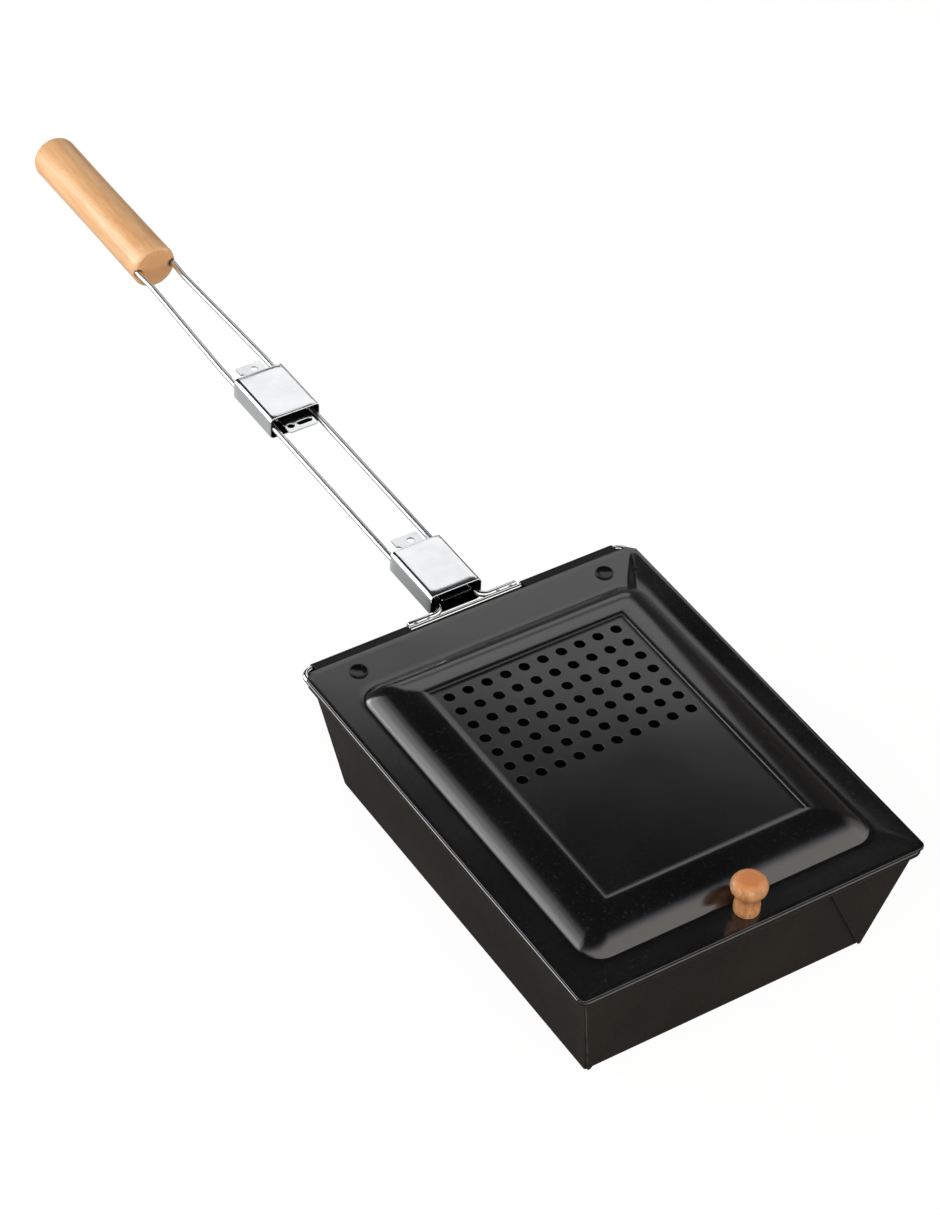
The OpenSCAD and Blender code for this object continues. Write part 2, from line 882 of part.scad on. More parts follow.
// Wires from the second fold into the grip
module grip_wire(s) {
    translate([0, fold_2, wire_z])
        bent_wire([
            [s * wire_half, wire_from],
            [s * wire_half, straight_to],
            [s * bend_half, grip_start - bend_before],
            [s * grip_wire_half, grip_start - grip_lead],
            [s * grip_wire_half, grip_start + wire_in]
        ], wire_r);
}

module grip_wire_left() {
    color(chrome)
        grip_wire(-1);
}

module grip_wire_right() {
    color(chrome)
        grip_wire(1);
}

// Turned wooden grip
module wooden_grip() {
    color(wood)
        difference() {
            translate([0, fold_2 + grip_start, wire_z])
                rotate([-90, 0, 0])
                    rotate_extrude()
                        union() {
                            polygon([[0, 0], [grip_r - grip_near_bevel, 0], [grip_r, grip_near_bevel],
                                [grip_r, grip_l - grip_far_round], [grip_r - grip_far_round, grip_l],
                                [0, grip_l]]);
                            intersection() {
                                translate([grip_r - grip_far_round, grip_l - grip_far_round])
                                    circle(r = grip_far_round);
                                square([grip_r, grip_l]);
                            }
                        }
            for (s = [-1, 1]) {
                translate([s * grip_wire_half, fold_2 + grip_start - 1, wire_z])
                    rotate([-90, 0, 0])
                        cylinder(r = wire_r + fit_gap, h = wire_in + 1 + fit_gap);
            }
        }
}

tray_pan();
tray_bead();
tray_back_hem();
tray_corner_folds();
rim_wire();
stub_left();
stub_right();
stub_welds();
lid_sheet();
lid_hinge_left();
lid_hinge_right();
lid_rivets();
knob();
knob_screw();
knob_washer();
inner_hinge_plate();
inner_sleeve();
middle_wire_left();
middle_wire_right();
outer_hinge_plate();
outer_sleeve();
grip_wire_left();
grip_wire_right();
wooden_grip();
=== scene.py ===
import json
import math

import bmesh
import bpy
from mathutils import Euler, Matrix, Vector


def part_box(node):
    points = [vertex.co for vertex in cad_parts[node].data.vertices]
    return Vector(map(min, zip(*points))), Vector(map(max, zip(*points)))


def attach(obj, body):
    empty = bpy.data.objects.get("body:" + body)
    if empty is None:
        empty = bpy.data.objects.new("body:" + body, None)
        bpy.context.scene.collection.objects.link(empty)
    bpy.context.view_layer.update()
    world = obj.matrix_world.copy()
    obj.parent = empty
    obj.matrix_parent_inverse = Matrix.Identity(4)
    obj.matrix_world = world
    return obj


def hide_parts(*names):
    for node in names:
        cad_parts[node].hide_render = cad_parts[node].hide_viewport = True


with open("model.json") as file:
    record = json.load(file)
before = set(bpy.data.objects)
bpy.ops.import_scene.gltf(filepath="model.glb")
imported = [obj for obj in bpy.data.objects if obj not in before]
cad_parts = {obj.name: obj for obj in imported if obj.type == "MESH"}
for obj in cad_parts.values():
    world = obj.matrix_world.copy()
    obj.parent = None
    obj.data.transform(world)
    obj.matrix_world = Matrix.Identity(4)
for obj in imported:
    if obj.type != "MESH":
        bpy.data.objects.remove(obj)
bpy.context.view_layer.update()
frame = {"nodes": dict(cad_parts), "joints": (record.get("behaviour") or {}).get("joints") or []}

MM = 0.001

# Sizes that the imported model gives
PAN_LOW, PAN_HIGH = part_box("tray_pan")
WIRE_LOW, WIRE_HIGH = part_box("rim_wire")
BEAD_LOW, BEAD_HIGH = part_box("tray_bead")
HEM_LOW, HEM_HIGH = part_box("tray_back_hem")
LID_LOW, LID_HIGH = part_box("lid_sheet")
LEAF_LOW, LEAF_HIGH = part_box("lid_hinge_right")
KNOB_LOW, KNOB_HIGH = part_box("knob")
GRIP_LOW, GRIP_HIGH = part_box("wooden_grip")
SLEEVE_LOW, SLEEVE_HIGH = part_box("inner_sleeve")
SLEEVE_2_LOW, SLEEVE_2_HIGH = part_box("outer_sleeve")
PLATE_LOW, PLATE_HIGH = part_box("inner_hinge_plate")
PLATE_2_LOW, PLATE_2_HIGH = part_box("outer_hinge_plate")
STUB_LOW, STUB_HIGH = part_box("stub_right")
MIDDLE_LOW, MIDDLE_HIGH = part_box("middle_wire_right")
GRIP_WIRE_LOW, GRIP_WIRE_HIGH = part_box("grip_wire_right")
JOINT_AT = {j["name"]: Vector(j["pos_m"]) for j in frame["joints"] if "pos_m" in j}
FOLD_1 = JOINT_AT["inner_fold"].y
FOLD_2 = JOINT_AT["outer_fold"].y

# Tray
SHEET = 0.6 * MM
BOTTOM_X = 74 * MM
BOTTOM_Y = 100.5 * MM
WIRE_R = (WIRE_HIGH.z - WIRE_LOW.z) / 2
WIRE_Z = (WIRE_HIGH.z + WIRE_LOW.z) / 2
RIM_X = WIRE_HIGH.x - WIRE_R
RIM_FRONT = WIRE_LOW.y + WIRE_R
HINGE_Y = WIRE_HIGH.y - WIRE_R
BEAD_R = BEAD_HIGH.x - RIM_X
FRONT_BEND = 3 * MM
BACK_BEND = 5 * MM
HEM_R = (HEM_HIGH.z - HEM_LOW.z) / 2
HEM_Y = HEM_HIGH.y - HEM_R
HEM_Z = HEM_HIGH.z - HEM_R

# Lid
LID_RISE = 3.8 * MM
LID_TOP = WIRE_Z + LID_RISE
LID_X = LID_HIGH.x
PANEL_X = 52.7 * MM
PANEL_FRONT = -76.8 * MM
PANEL_BACK = 67.2 * MM
MOULD_W = 23 * MM
MOULD_CORNER = 11 * MM
CREST_R = 40 * MM
CREST_W = 0.55 * MOULD_W
MOULD_H = LID_HIGH.z - LID_TOP
PANEL_SINK = 1.2 * MM
VENT_R = 2.7 * MM
VENT_PITCH = 10 * MM
VENT_COLS = 10
VENT_ROWS = 7
VENT_EDGE = 6.8 * MM
RIVET_X = 67.02 * MM
RIVET_Y = 102 * MM
RIVET_R = 4.3 * MM
RIVET_H = 0.9 * MM
DISH_R = 3.8 * MM
DISH_H = 0.7 * MM
# How far the flange springs before and after each corner and at the next side's end, and where it turns
FLANGE_SPRING = ((0.15, 0.3, 1.7, 0.7), (1.7, 0.0, 0.0, 0.35), (0.0, 0.0, 0.0, 0.35), (0.0, 0.18, 0.15, 0.35))

# Handle
WIRE_HALF = MIDDLE_HIGH.x - WIRE_R
STUB_HALF = 10.4 * MM
PIN_IN = 4.6 * MM
PLATE_T = 0.8 * MM
PLATE_UNDER = 1.58 * MM
CURL_FROM = 9 * MM
CURL_L = 10 * MM
MOUTH_IN = 7 * MM
SLEEVE_T = 0.8 * MM


# ---- Geometry helpers ----

def finish_mesh(name, bm, body, material, angle=40, stands_for=()):
    """Turns a bmesh into a smooth-shaded piece on its body."""
    bmesh.ops.remove_doubles(bm, verts=bm.verts, dist=0.002 * MM)
    bmesh.ops.recalc_face_normals(bm, faces=bm.faces)
    mesh = bpy.data.meshes.new(name)
    bm.to_mesh(mesh)
    bm.free()
    return add_piece(name, mesh, body, material, angle, stands_for)


def add_piece(name, mesh, body, material, angle=40, stands_for=()):
    """Adds a mesh as a piece, marks its outer edges for wear and painted edge highlights, and fixes it to a body.
    """
    mesh.shade_smooth()
    mesh.set_sharp_from_angle(angle=math.radians(angle))
    mark_edges(mesh)
    piece = bpy.data.objects.new(name, mesh)
    bpy.context.scene.collection.objects.link(piece)
    mesh.materials.clear()
    mesh.materials.append(material)
    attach(piece, body)
    if stands_for:
        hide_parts(*stands_for)
    return piece


def mark_edges(mesh):
    """Stores how strongly the surface turns outward at each point, for worn edges and painted edge highlights."""
    bm = bmesh.new()
    bm.from_mesh(mesh)
    bm.normal_update()
    layer = mesh.attributes.new("edge", "FLOAT", "POINT")
    for v in bm.verts:
        turns = [e.calc_face_angle_signed(0.0) for e in v.link_edges if len(e.link_faces) == 2]
        layer.data[v.index].value = max(0.0, max(turns, default=0.0)) / (math.pi / 2)
    bm.free()


def mark_inside(mesh, axis_z):
    """Stores which points of a hollow piece lie on its inner wall, which is painted near black as painted shade."""
    layer = mesh.attributes.new("inside", "FLOAT", "POINT")
    for v in mesh.vertices:
        inward = v.normal.x * v.co.x + v.normal.z * (v.co.z - axis_z) < -1e-5
        layer.data[v.index].value = 1.0 if inward else 0.0


def loft(bm, rings, closed=True, start_cap=True, end_cap=True):
    """Joins rings of points with faces, and closes the ends where asked."""
    made = [[bm.verts.new(p) for p in ring] for ring in rings]
    count = len(made[0])
    for a, b in zip(made, made[1:]):
        for i in range(count if closed else count - 1):
            j = (i + 1) % count
            bm.faces.new((a[i], a[j], b[j], b[i]))
    if start_cap:
        bm.faces.new(list(reversed(made[0])))
    if end_cap:
        bm.faces.new(made[-1])
    return made


def arc(cx, cy, r, start, end, steps):
    """Points of a flat arc, in degrees."""
    return [(cx + r * math.cos(math.radians(start + (end - start) * i / steps)),
             cy + r * math.sin(math.radians(start + (end - start) * i / steps)))
            for i in range(steps + 1)]


def round_path(points, radii, steps=8):
    """A path through points with its corners rounded by arcs."""
    points = [Vector(p) for p in points]
    out = [points[0]]
    for before, at, after, radius in zip(points, points[1:], points[2:], radii):
        u, v = (before - at).normalized(), (after - at).normalized()
        half = u.angle(v) / 2
        reach = radius / math.tan(half)
        centre = at + (u + v).normalized() * (radius / math.sin(half))
        a, b = at + u * reach - centre, at + v * reach - centre
        turn = a.angle(b)
        for i in range(steps + 1):
            t = i / steps
            out.append(centre + (a * math.sin((1 - t) * turn) + b * math.sin(t * turn)) / math.sin(turn))
    out.append(points[-1])
    return out


def tube_rings(path, radius, sides=20, ends=(0.35 * MM, 0.35 * MM), closed=False):
    """Rings of a round bar along a path, with slightly rounded ends."""
    count = len(path)
    tangents = []
    for i in range(count):
        a = path[(i - 1) % count] if closed or i else path[0]
        b = path[(i + 1) % count] if closed or i < count - 1 else path[-1]
        tangents.append((b - a).normalized())
    normal = tangents[0].orthogonal().normalized()
    rings = []
    for i, (p, t) in enumerate(zip(path, tangents)):
        normal = (normal - t * normal.dot(t)).normalized()
        side = t.cross(normal)
        r = radius(i / (count - 1)) if callable(radius) else radius
        rings.append((p, t, normal, side, r))

    def ring(p, n, s, r):
        return [p + (n * math.cos(math.tau * k / sides) + s * math.sin(math.tau * k / sides)) * r
                for k in range(sides)]

    out = [ring(p, n, s, r) for p, t, n, s, r in rings]
    if not closed:
        for end, at, sign in ((0, 0, 1), (1, -1, -1)):
            p, t, n, s, r = rings[at]
            cut = min(ends[end], r * 0.8)
            extra = [ring(p, n, s, r - cut), ring(p + t * sign * cut * 0.3, n, s, r - cut * 0.3),
                     ring(p + t * sign * cut, n, s, r)]
            out = extra + out[1:] if sign > 0 else out[:-1] + extra[::-1]
    return out


def bar(name, path, radius, body, material, stands_for=(), sides=20, closed=False):
    """A round bar or wire along a path."""
    bm = bmesh.new()
    rings = tube_rings(path, radius, sides, closed=closed)
    if closed:
        rings.append(rings[0])
    loft(bm, rings, start_cap=not closed, end_cap=not closed)
    return finish_mesh(name, bm, body, material, 50, stands_for)


def lathe(bm, profile, place, axis, sides=64):
    """Turns a profile of (radius, distance) points round an axis."""
    turn = Vector((0, 0, 1)).rotation_difference(axis).to_matrix()
    rings = [[place + turn @ Vector((r * math.cos(math.tau * k / sides),
                                     r * math.sin(math.tau * k / sides), h)) for k in range(sides)]
             for r, h in profile]
    return loft(bm, rings)


def sweep(bm, section, path, closed=False):
    """Sweeps a closed (outward, up) section along a flat path that runs clockwise."""
    rings = []
    count = len(path)
    for i, p in enumerate(path):
        a = path[(i - 1) % count] if closed or i else path[0]
        b = path[(i + 1) % count] if closed or i < count - 1 else path[-1]
        t = (b - a).normalized()
        out = Vector((-t.y, t.x, 0))
        rings.append([p + out * x + Vector((0, 0, z)) for x, z in section])
    loft(bm, rings, start_cap=not closed, end_cap=not closed)


def rim_path(x, front, back, bend, z):
    """The way round the two sides and the front, from the back right."""
    return round_path([(x, back, z), (x, front, z), (-x, front, z), (-x, back, z)], [bend, bend], 12)


def ring_points(x0, x1, y0, y1, cuts, z, corner=9, side=7):
    """A rectangle's outline with rounded corners, or cut ones where the value is negative."""
    corners = [(x1, y0, -1, 1, -90), (x1, y1, -1, -1, 0), (x0, y1, 1, -1, 90), (x0, y0, 1, 1, 180)]
    out = []
    for k, (x, y, sx, sy, start) in enumerate(corners):
        r = abs(cuts[k])
        points = arc(x + sx * r, y + sy * r, r, start, start + 90, corner)
        if cuts[k] < 0:
            a, b = points[0], points[-1]
            points = [(a[0] + (b[0] - a[0]) * i / corner, a[1] + (b[1] - a[1]) * i / corner)
                      for i in range(corner + 1)]
        out.append(points)
    ring = []
    for k in range(4):
        ring += out[k]
        a, b = out[k][-1], out[(k + 1) % 4][0]
        ring += [(a[0] + (b[0] - a[0]) * i / side, a[1] + (b[1] - a[1]) * i / side)
                 for i in range(1, side)]
    return [Vector((x, y, z)) for x, y in ring]


# ---- Material helpers ----

def set_input(tree, socket, value):
    if isinstance(value, bpy.types.NodeSocket):
        tree.links.new(value, socket)
    else:
        socket.default_value = value


def add_node(tree, kind, inputs=None, **settings):
    """Adds a shader node with its settings and inputs."""
    made = tree.nodes.new(kind)
    for name, value in settings.items():
        setattr(made, name, value)
    for name, value in (inputs or {}).items():
        set_input(tree, made.inputs[name], value)
    return made


def math_node(tree, operation, a, b=0.5, c=0.0):
    made = add_node(tree, "ShaderNodeMath", {0: a, 1: b, 2: c}, operation=operation)
    return made.outputs[0]


def mix_colour(tree, factor, a, b, blend="MIX"):
    made = tree.nodes.new("ShaderNodeMix")
    made.data_type = "RGBA"
    made.blend_type = blend
    for index, value in ((0, factor), (6, a), (7, b)):
        set_input(tree, made.inputs[index], value)
    return made.outputs[2]


def ramp(tree, value, low, high, to_low=0.0, to_high=1.0):
    made = add_node(tree, "ShaderNodeMapRange", {"Value": value, "From Min": low, "From Max": high,
                                                 "To Min": to_low, "To Max": to_high})
    return made.outputs["Result"]


def new_group(name, inputs, outputs):
    """A shader node group with named inputs (name, default) and outputs (name, kind)."""
    group = bpy.data.node_groups.new(name, "ShaderNodeTree")
    for label, default in inputs:
        kind = "NodeSocketColor" if isinstance(default, tuple) else "NodeSocketFloat"
        socket = group.interface.new_socket(label, in_out="INPUT", socket_type=kind)
        socket.default_value = default
    for label, kind in outputs:
        group.interface.new_socket(label, in_out="OUTPUT", socket_type=kind)
    source = group.nodes.new("NodeGroupInput").outputs
    target = group.nodes.new("NodeGroupOutput").inputs
    return group, source, target


def place_group(tree, group, values):
    made = tree.nodes.new("ShaderNodeGroup")
    made.node_tree = group
    for name, value in values.items():
        set_input(tree, made.inputs[name], value)
    return made.outputs


def rgb(r, g, b):
    """A colour written as it is seen, 0 to 255, turned into linear light."""
    return tuple(((c / 255 + 0.055) / 1.055) ** 2.4 if c > 10 else c / 255 / 12.92
                 for c in (r, g, b)) + (1.0,)


def noise(tree, place, scale, detail=3.0, roughness=0.55):
    return add_node(tree, "ShaderNodeTexNoise", {"Vector": place, "Scale": scale, "Detail": detail,
                                                 "Roughness": roughness}).outputs["Fac"]


def make_smudges():
    """Broad uneven patches and small specks, for handled or fired surfaces."""
    group, given, out = new_group(
        "smudges", [("Scale", 20.0), ("Contrast", 1.0)],
        [("Patches", "NodeSocketFloat"), ("Specks", "NodeSocketFloat")])
    place = add_node(group, "ShaderNodeTexCoord").outputs["Object"]
    broad = noise(group, place, given["Scale"], 4.0, 0.6)
    centred = math_node(group, "MULTIPLY_ADD", broad, given["Contrast"],
                        math_node(group, "MULTIPLY_ADD", given["Contrast"], -0.5, 0.5))
    group.links.new(ramp(group, centred, 0.2, 0.8), out["Patches"])
    fine = noise(group, place, math_node(group, "MULTIPLY", given["Scale"], 55.0), 2.0, 0.5)
    group.links.new(ramp(group, fine, 0.62, 0.78), out["Specks"])
    return group


def make_fine_grain():
    """Height of a fine sprayed or rolled skin, with a slow wave of thin sheet under it."""
    group, given, out = new_group(
        "fine_grain", [("Grain Scale", 1800.0), ("Grain", 1.0), ("Wave Scale", 9.0), ("Wave", 1.0)],
        [("Height", "NodeSocketFloat")])
    place = add_node(group, "ShaderNodeTexCoord").outputs["Object"]
    grain = math_node(group, "MULTIPLY", noise(group, place, given["Grain Scale"], 2.0), given["Grain"])
    wave = math_node(group, "MULTIPLY", noise(group, place, given["Wave Scale"], 1.0), given["Wave"])
    group.links.new(math_node(group, "ADD", grain, wave), out["Height"])
    return group


def make_edge_wear_and_sheen():
    """Where outer edges are rubbed and carry a painted edge highlight, from the marked edges broken up by a fine
    noise.
    """
    group, given, out = new_group(
        "edge_wear_and_sheen", [("Amount", 0.5), ("Scale", 300.0)], [("Mask", "NodeSocketFloat")])
    place = add_node(group, "ShaderNodeTexCoord").outputs["Object"]
    edge = add_node(group, "ShaderNodeAttribute", attribute_name="edge").outputs["Fac"]
    broken = ramp(group, noise(group, place, given["Scale"], 3.0), 0.35, 0.65)
    mask = math_node(group, "MULTIPLY", math_node(group, "MULTIPLY", edge, broken), given["Amount"])
    group.links.new(add_node(group, "ShaderNodeClamp", {"Value": mask}).outputs[0], out["Mask"])
    return group


def make_wood_grain():
    """Straight pale wood: long streaks along one axis, growth bands and short dark flecks."""
    group, given, out = new_group(
        "wood_grain", [("Along X", 1.0), ("Along Y", 1.0), ("Along Z", 1.0),
                       ("Pale", (0.7, 0.45, 0.22, 1.0)), ("Deep", (0.5, 0.28, 0.12, 1.0))],
        [("Color", "NodeSocketColor"), ("Streaks", "NodeSocketFloat"), ("Height", "NodeSocketFloat")])
    place = add_node(group, "ShaderNodeTexCoord").outputs["Object"]
    squeeze = add_node(group, "ShaderNodeCombineXYZ",
                       {"X": given["Along X"], "Y": given["Along Y"], "Z": given["Along Z"]})
    drawn = add_node(group, "ShaderNodeVectorMath", {0: place, 1: squeeze.outputs[0]},
                     operation="MULTIPLY").outputs[0]
    bands = noise(group, drawn, 260.0, 3.0, 0.6)
    streaks = noise(group, drawn, 900.0, 4.0, 0.65)
    flecks = ramp(group, noise(group, drawn, 2100.0, 2.0, 0.6), 0.63, 0.72)
    mixed = math_node(group, "MULTIPLY_ADD", bands, 0.6, math_node(group, "MULTIPLY", streaks, 0.4))
    tone = ramp(group, mixed, 0.36, 0.64)
    colour = mix_colour(group, tone, given["Pale"], given["Deep"])
    colour = mix_colour(group, math_node(group, "MULTIPLY", flecks, 0.35), colour, (0.2, 0.09, 0.03, 1))
    group.links.new(colour, out["Color"])
    group.links.new(streaks, out["Streaks"])
    group.links.new(math_node(group, "MULTIPLY_ADD", flecks, -0.6, streaks), out["Height"])
    return group


SMUDGES = make_smudges()
FINE_GRAIN = make_fine_grain()
EDGE_WEAR_AND_SHEEN = make_edge_wear_and_sheen()
WOOD_GRAIN = make_wood_grain()


def new_material(name):
    """An empty material with its Principled shader."""
    material = bpy.data.materials.new(name)
    material.use_nodes = True
    tree = material.node_tree
    return material, tree, tree.nodes["Principled BSDF"]


def bump(tree, shader, height, distance, strength=1.0):
    made = add_node(tree, "ShaderNodeBump", {"Height": height, "Distance": distance, "Strength": strength})
    tree.links.new(made.outputs["Normal"], shader.inputs["Normal"])


def coated_steel(name, dark, rubbed_and_sheen, rough, ior, wear_and_sheen, wave, mottle=0.03):
    """Thin steel with a black baked coat."""
    material, tree, shader = new_material(name)
    patches, specks = place_group(tree, SMUDGES, {"Scale": 14.0, "Contrast": 1.4})[:2]
    # Outer edges lightened towards the rubbed colour: partly rub wear, partly a painted edge highlight.
    worn_and_sheen = place_group(tree, EDGE_WEAR_AND_SHEEN, {"Amount": wear_and_sheen, "Scale": 240.0})["Mask"]
    lifted = math_node(tree, "MULTIPLY_ADD", specks, 0.25, math_node(tree, "MULTIPLY_ADD", patches, mottle, worn_and_sheen))
    set_input(tree, shader.inputs["Base Color"], mix_colour(tree, lifted, dark, rubbed_and_sheen))
    roughness = ramp(tree, patches, 0.0, 1.0, rough * 0.88, rough * 1.14)
    set_input(tree, shader.inputs["Roughness"],
              math_node(tree, "MULTIPLY_ADD", specks, 0.05, roughness))
    shader.inputs["IOR"].default_value = ior
    height = place_group(tree, FINE_GRAIN, {"Grain Scale": 2100.0, "Grain": 0.010, "Wave Scale": 16.0,
                                            "Wave": wave})["Height"]
    bump(tree, shader, height, 1.0 * MM)
    return material


def plated_steel(name, colour, rough, patch, grain):
    """Bright plated steel with faint wiping marks, and inner walls painted near black as painted shade."""
    material, tree, shader = new_material(name)
    patches, specks = place_group(tree, SMUDGES, {"Scale": 45.0, "Contrast": 1.6})[:2]
    dull = tuple(c * 0.8 for c in colour[:3]) + (1.0,)
    wiped = mix_colour(tree, math_node(tree, "MULTIPLY_ADD", patches, 0.35,
                                       math_node(tree, "MULTIPLY", specks, 0.4)), colour, dull)
    # Inner walls of hollow pieces are painted near black: painted shade inside the sleeves.
    inside = add_node(tree, "ShaderNodeAttribute", attribute_name="inside").outputs["Fac"]
    set_input(tree, shader.inputs["Base Color"], mix_colour(tree, inside, wiped, (0.012, 0.013, 0.013, 1)))
    shader.inputs["Metallic"].default_value = 1.0
    set_input(tree, shader.inputs["Roughness"], ramp(tree, patches, 0.0, 1.0, rough, rough + patch))
    height = place_group(tree, FINE_GRAIN, {"Grain Scale": 900.0, "Grain": grain, "Wave Scale": 60.0,
                                            "Wave": grain * 3})["Height"]
    bump(tree, shader, height, 1.0 * MM)
    return material


def turned_wood(name, along, pale, deep, end_colour, end_axis, end_from, end_to, burns=()):
    """Pale turned wood with a darker end face, burnt rims where wires enter, and outer edges lightened as a painted
    rim highlight.
    """
    material, tree, shader = new_material(name)
    grain = place_group(tree, WOOD_GRAIN, {"Along X": along[0], "Along Y": along[1],
                                           "Along Z": along[2], "Pale": pale, "Deep": deep})
    patches = place_group(tree, SMUDGES, {"Scale": 60.0, "Contrast": 1.5})["Patches"]
    colour = mix_colour(tree, math_node(tree, "MULTIPLY", patches, 0.25), grain["Color"], deep)
    place = add_node(tree, "ShaderNodeTexCoord").outputs["Object"]
    part = add_node(tree, "ShaderNodeSeparateXYZ", {0: place}).outputs
    face = ramp(tree, part[end_axis], end_from, end_to)
    rings = add_node(tree, "ShaderNodeTexWave", {"Vector": place, "Scale": 330.0, "Distortion": 6.0,
                                                 "Detail": 2.0, "Detail Scale": 1.5}).outputs["Fac"]
    end_tone = mix_colour(tree, math_node(tree, "MULTIPLY", rings, 0.45), end_colour, deep)
    colour = mix_colour(tree, face, colour, end_tone)
    for x, z in burns:
        away = add_node(tree, "ShaderNodeVectorMath",
                        {0: add_node(tree, "ShaderNodeCombineXYZ",
                                     {"X": part[0], "Z": part[2]}).outputs[0], 1: (x, 0.0, z)},
                        operation="DISTANCE").outputs["Value"]
        ragged = math_node(tree, "MULTIPLY_ADD", patches, -0.9 * MM, away)
        burnt = ramp(tree, ragged, 1.3 * MM, 2.6 * MM, 1.0, 0.0)
        near = ramp(tree, part[1], end_to + 2.5 * MM, end_to + 0.2 * MM)
        colour = mix_colour(tree, math_node(tree, "MULTIPLY", burnt, near), colour, rgb(62, 26, 12))
    # Outer edges lightened to a pale tone: a painted rim highlight.
    rubbed_and_sheen = place_group(tree, EDGE_WEAR_AND_SHEEN, {"Amount": 2.4, "Scale": 500.0})["Mask"]
    colour = mix_colour(tree, math_node(tree, "MULTIPLY", rubbed_and_sheen, 0.5), colour, rgb(250, 214, 170))
    set_input(tree, shader.inputs["Base Color"], colour)
    set_input(tree, shader.inputs["Roughness"], ramp(tree, grain["Streaks"], 0.3, 0.7, 0.42, 0.56))
    shader.inputs["Coat Weight"].default_value = 0.3
    shader.inputs["Coat Roughness"].default_value = 0.28
    bump(tree, shader, grain["Height"], 0.06 * MM)
    return material


# ---- Materials ----

LID_COAT = coated_steel("lid_coat", rgb(12, 11, 12), rgb(92, 90, 88), 0.16, 1.8, 0.2, 0.35)
TRAY_COAT = coated_steel("tray_coat", rgb(42, 39, 36), rgb(96, 92, 88), 0.6, 1.14, 0.5, 0.25, 0.14)
RIVET_COAT = coated_steel("rivet_coat", rgb(8, 7, 7), rgb(80, 76, 72), 0.16, 1.45, 0.3, 0.1)
BEAD_COAT = coated_steel("bead_coat", rgb(8, 8, 8), rgb(84, 80, 78), 0.11, 1.8, 0.3, 0.1)
LEAF_COAT = coated_steel("leaf_coat", rgb(6, 6, 6), rgb(50, 48, 46), 0.3, 1.2, 0.25, 0.1)
ROD_PLATE = plated_steel("rod_plate", (0.78, 0.80, 0.81, 1), 0.27, 0.1, 0.008)
BRIGHT_WIRE = plated_steel("bright_wire", (0.88, 0.89, 0.89, 1), 0.09, 0.08, 0.005)
SLEEVE_PLATE = plated_steel("sleeve_plate", (0.97, 0.985, 1.0, 1), 0.1, 0.1, 0.006)
HINGE_PLATE = plated_steel("hinge_plate", (0.93, 0.95, 0.96, 1), 0.14, 0.12, 0.008)
WELD_STEEL = plated_steel("weld_steel", (0.5, 0.5, 0.5, 1), 0.35, 0.25, 0.03)
SCREW_STEEL = plated_steel("screw_steel", (0.6, 0.61, 0.62, 1), 0.3, 0.2, 0.012)


# ---- Tray ----

def tray_wall(z, inset):
    """Half width and half length of the tray at a height."""
    share = z / PAN_HIGH.z
    return (BOTTOM_X + (PAN_HIGH.x - BOTTOM_X) * share - inset,
            BOTTOM_Y + (-PAN_LOW.y - BOTTOM_Y) * share - inset)


def make_tray():
    """The folded sheet: a flat bottom and four leaning walls with softly bent edges."""
    bend = 1.4 * MM
    bm = bmesh.new()
    rings = []

    def wall_ring(z, inset, corner):
        x, y = tray_wall(z, inset)
        return ring_points(-x, x, -y, y, [corner] * 4, z, corner=4, side=6)

    outer = [(0.0, bend, 0.8 * MM), (0.12 * MM, bend * 0.55, 0.8 * MM), (0.45 * MM, bend * 0.2, 0.8 * MM),
             (1.0 * MM, 0.03 * MM, 0.9 * MM), (1.6 * MM, 0.0, 0.9 * MM)]
    rings += [wall_ring(z, inset, corner) for z, inset, corner in outer]
    top = PAN_HIGH.z - 0.05 * MM
    levels = 6
    rings += [wall_ring(1.6 * MM + (top - 1.6 * MM) * i / levels, 0.0, 0.9 * MM) for i in range(1, levels + 1)]
    rings += [wall_ring(top - (top - 2 * MM) * i / levels, SHEET, 0.6 * MM) for i in range(levels + 1)]
    rings += [wall_ring(1.1 * MM, SHEET + 0.25 * MM, 0.6 * MM), wall_ring(0.75 * MM, SHEET + 0.7 * MM, 0.6 * MM),
              wall_ring(SHEET, SHEET + 1.5 * MM, 0.6 * MM)]
    for ring in rings:
        for p in ring:
            if p.y > 0 and p.z > HEM_Z:
                p.z = HEM_Z if p.y > PAN_HIGH.y - 3 * MM else p.z
    loft(bm, rings)
    finish_mesh("tray_sheet", bm, "tray", TRAY_COAT, 35, ["tray_pan"])


def roll_section(r_out, r_in, start=-90, end=180, steps=18):
    """Section of an edge rolled round a wire, as (outward, up) points."""
    outer = arc(0, 0, r_out, start, end, steps)
    inner = arc(0, 0, r_in, end, start, steps)
    tip = arc(0, -(r_out + r_in) / 2, (r_out - r_in) / 2, 90, 270, 4)[1:-1]
    return outer + inner + tip


def make_bead():
    """The tray's edge rolled round the wire on the sides and the front."""
    bm = bmesh.new()
    sweep(bm, roll_section(BEAD_R, WIRE_R + 0.03 * MM), rim_path(RIM_X, RIM_FRONT, BEAD_HIGH.y, FRONT_BEND, WIRE_Z))
    finish_mesh("rim_bead", bm, "tray", BEAD_COAT, 50, ["tray_bead"])


def make_back_hem():
    """The back wall's edge, rolled small and lower than the wire."""
    bm = bmesh.new()
    path = [Vector((HEM_LOW.x, HEM_Y, HEM_Z)), Vector((HEM_HIGH.x, HEM_Y, HEM_Z))]
    sweep(bm, roll_section(HEM_R, HEM_R - SHEET + 0.05 * MM, steps=12), path)
    finish_mesh("back_hem", bm, "tray", TRAY_COAT, 50, ["tray_back_hem"])


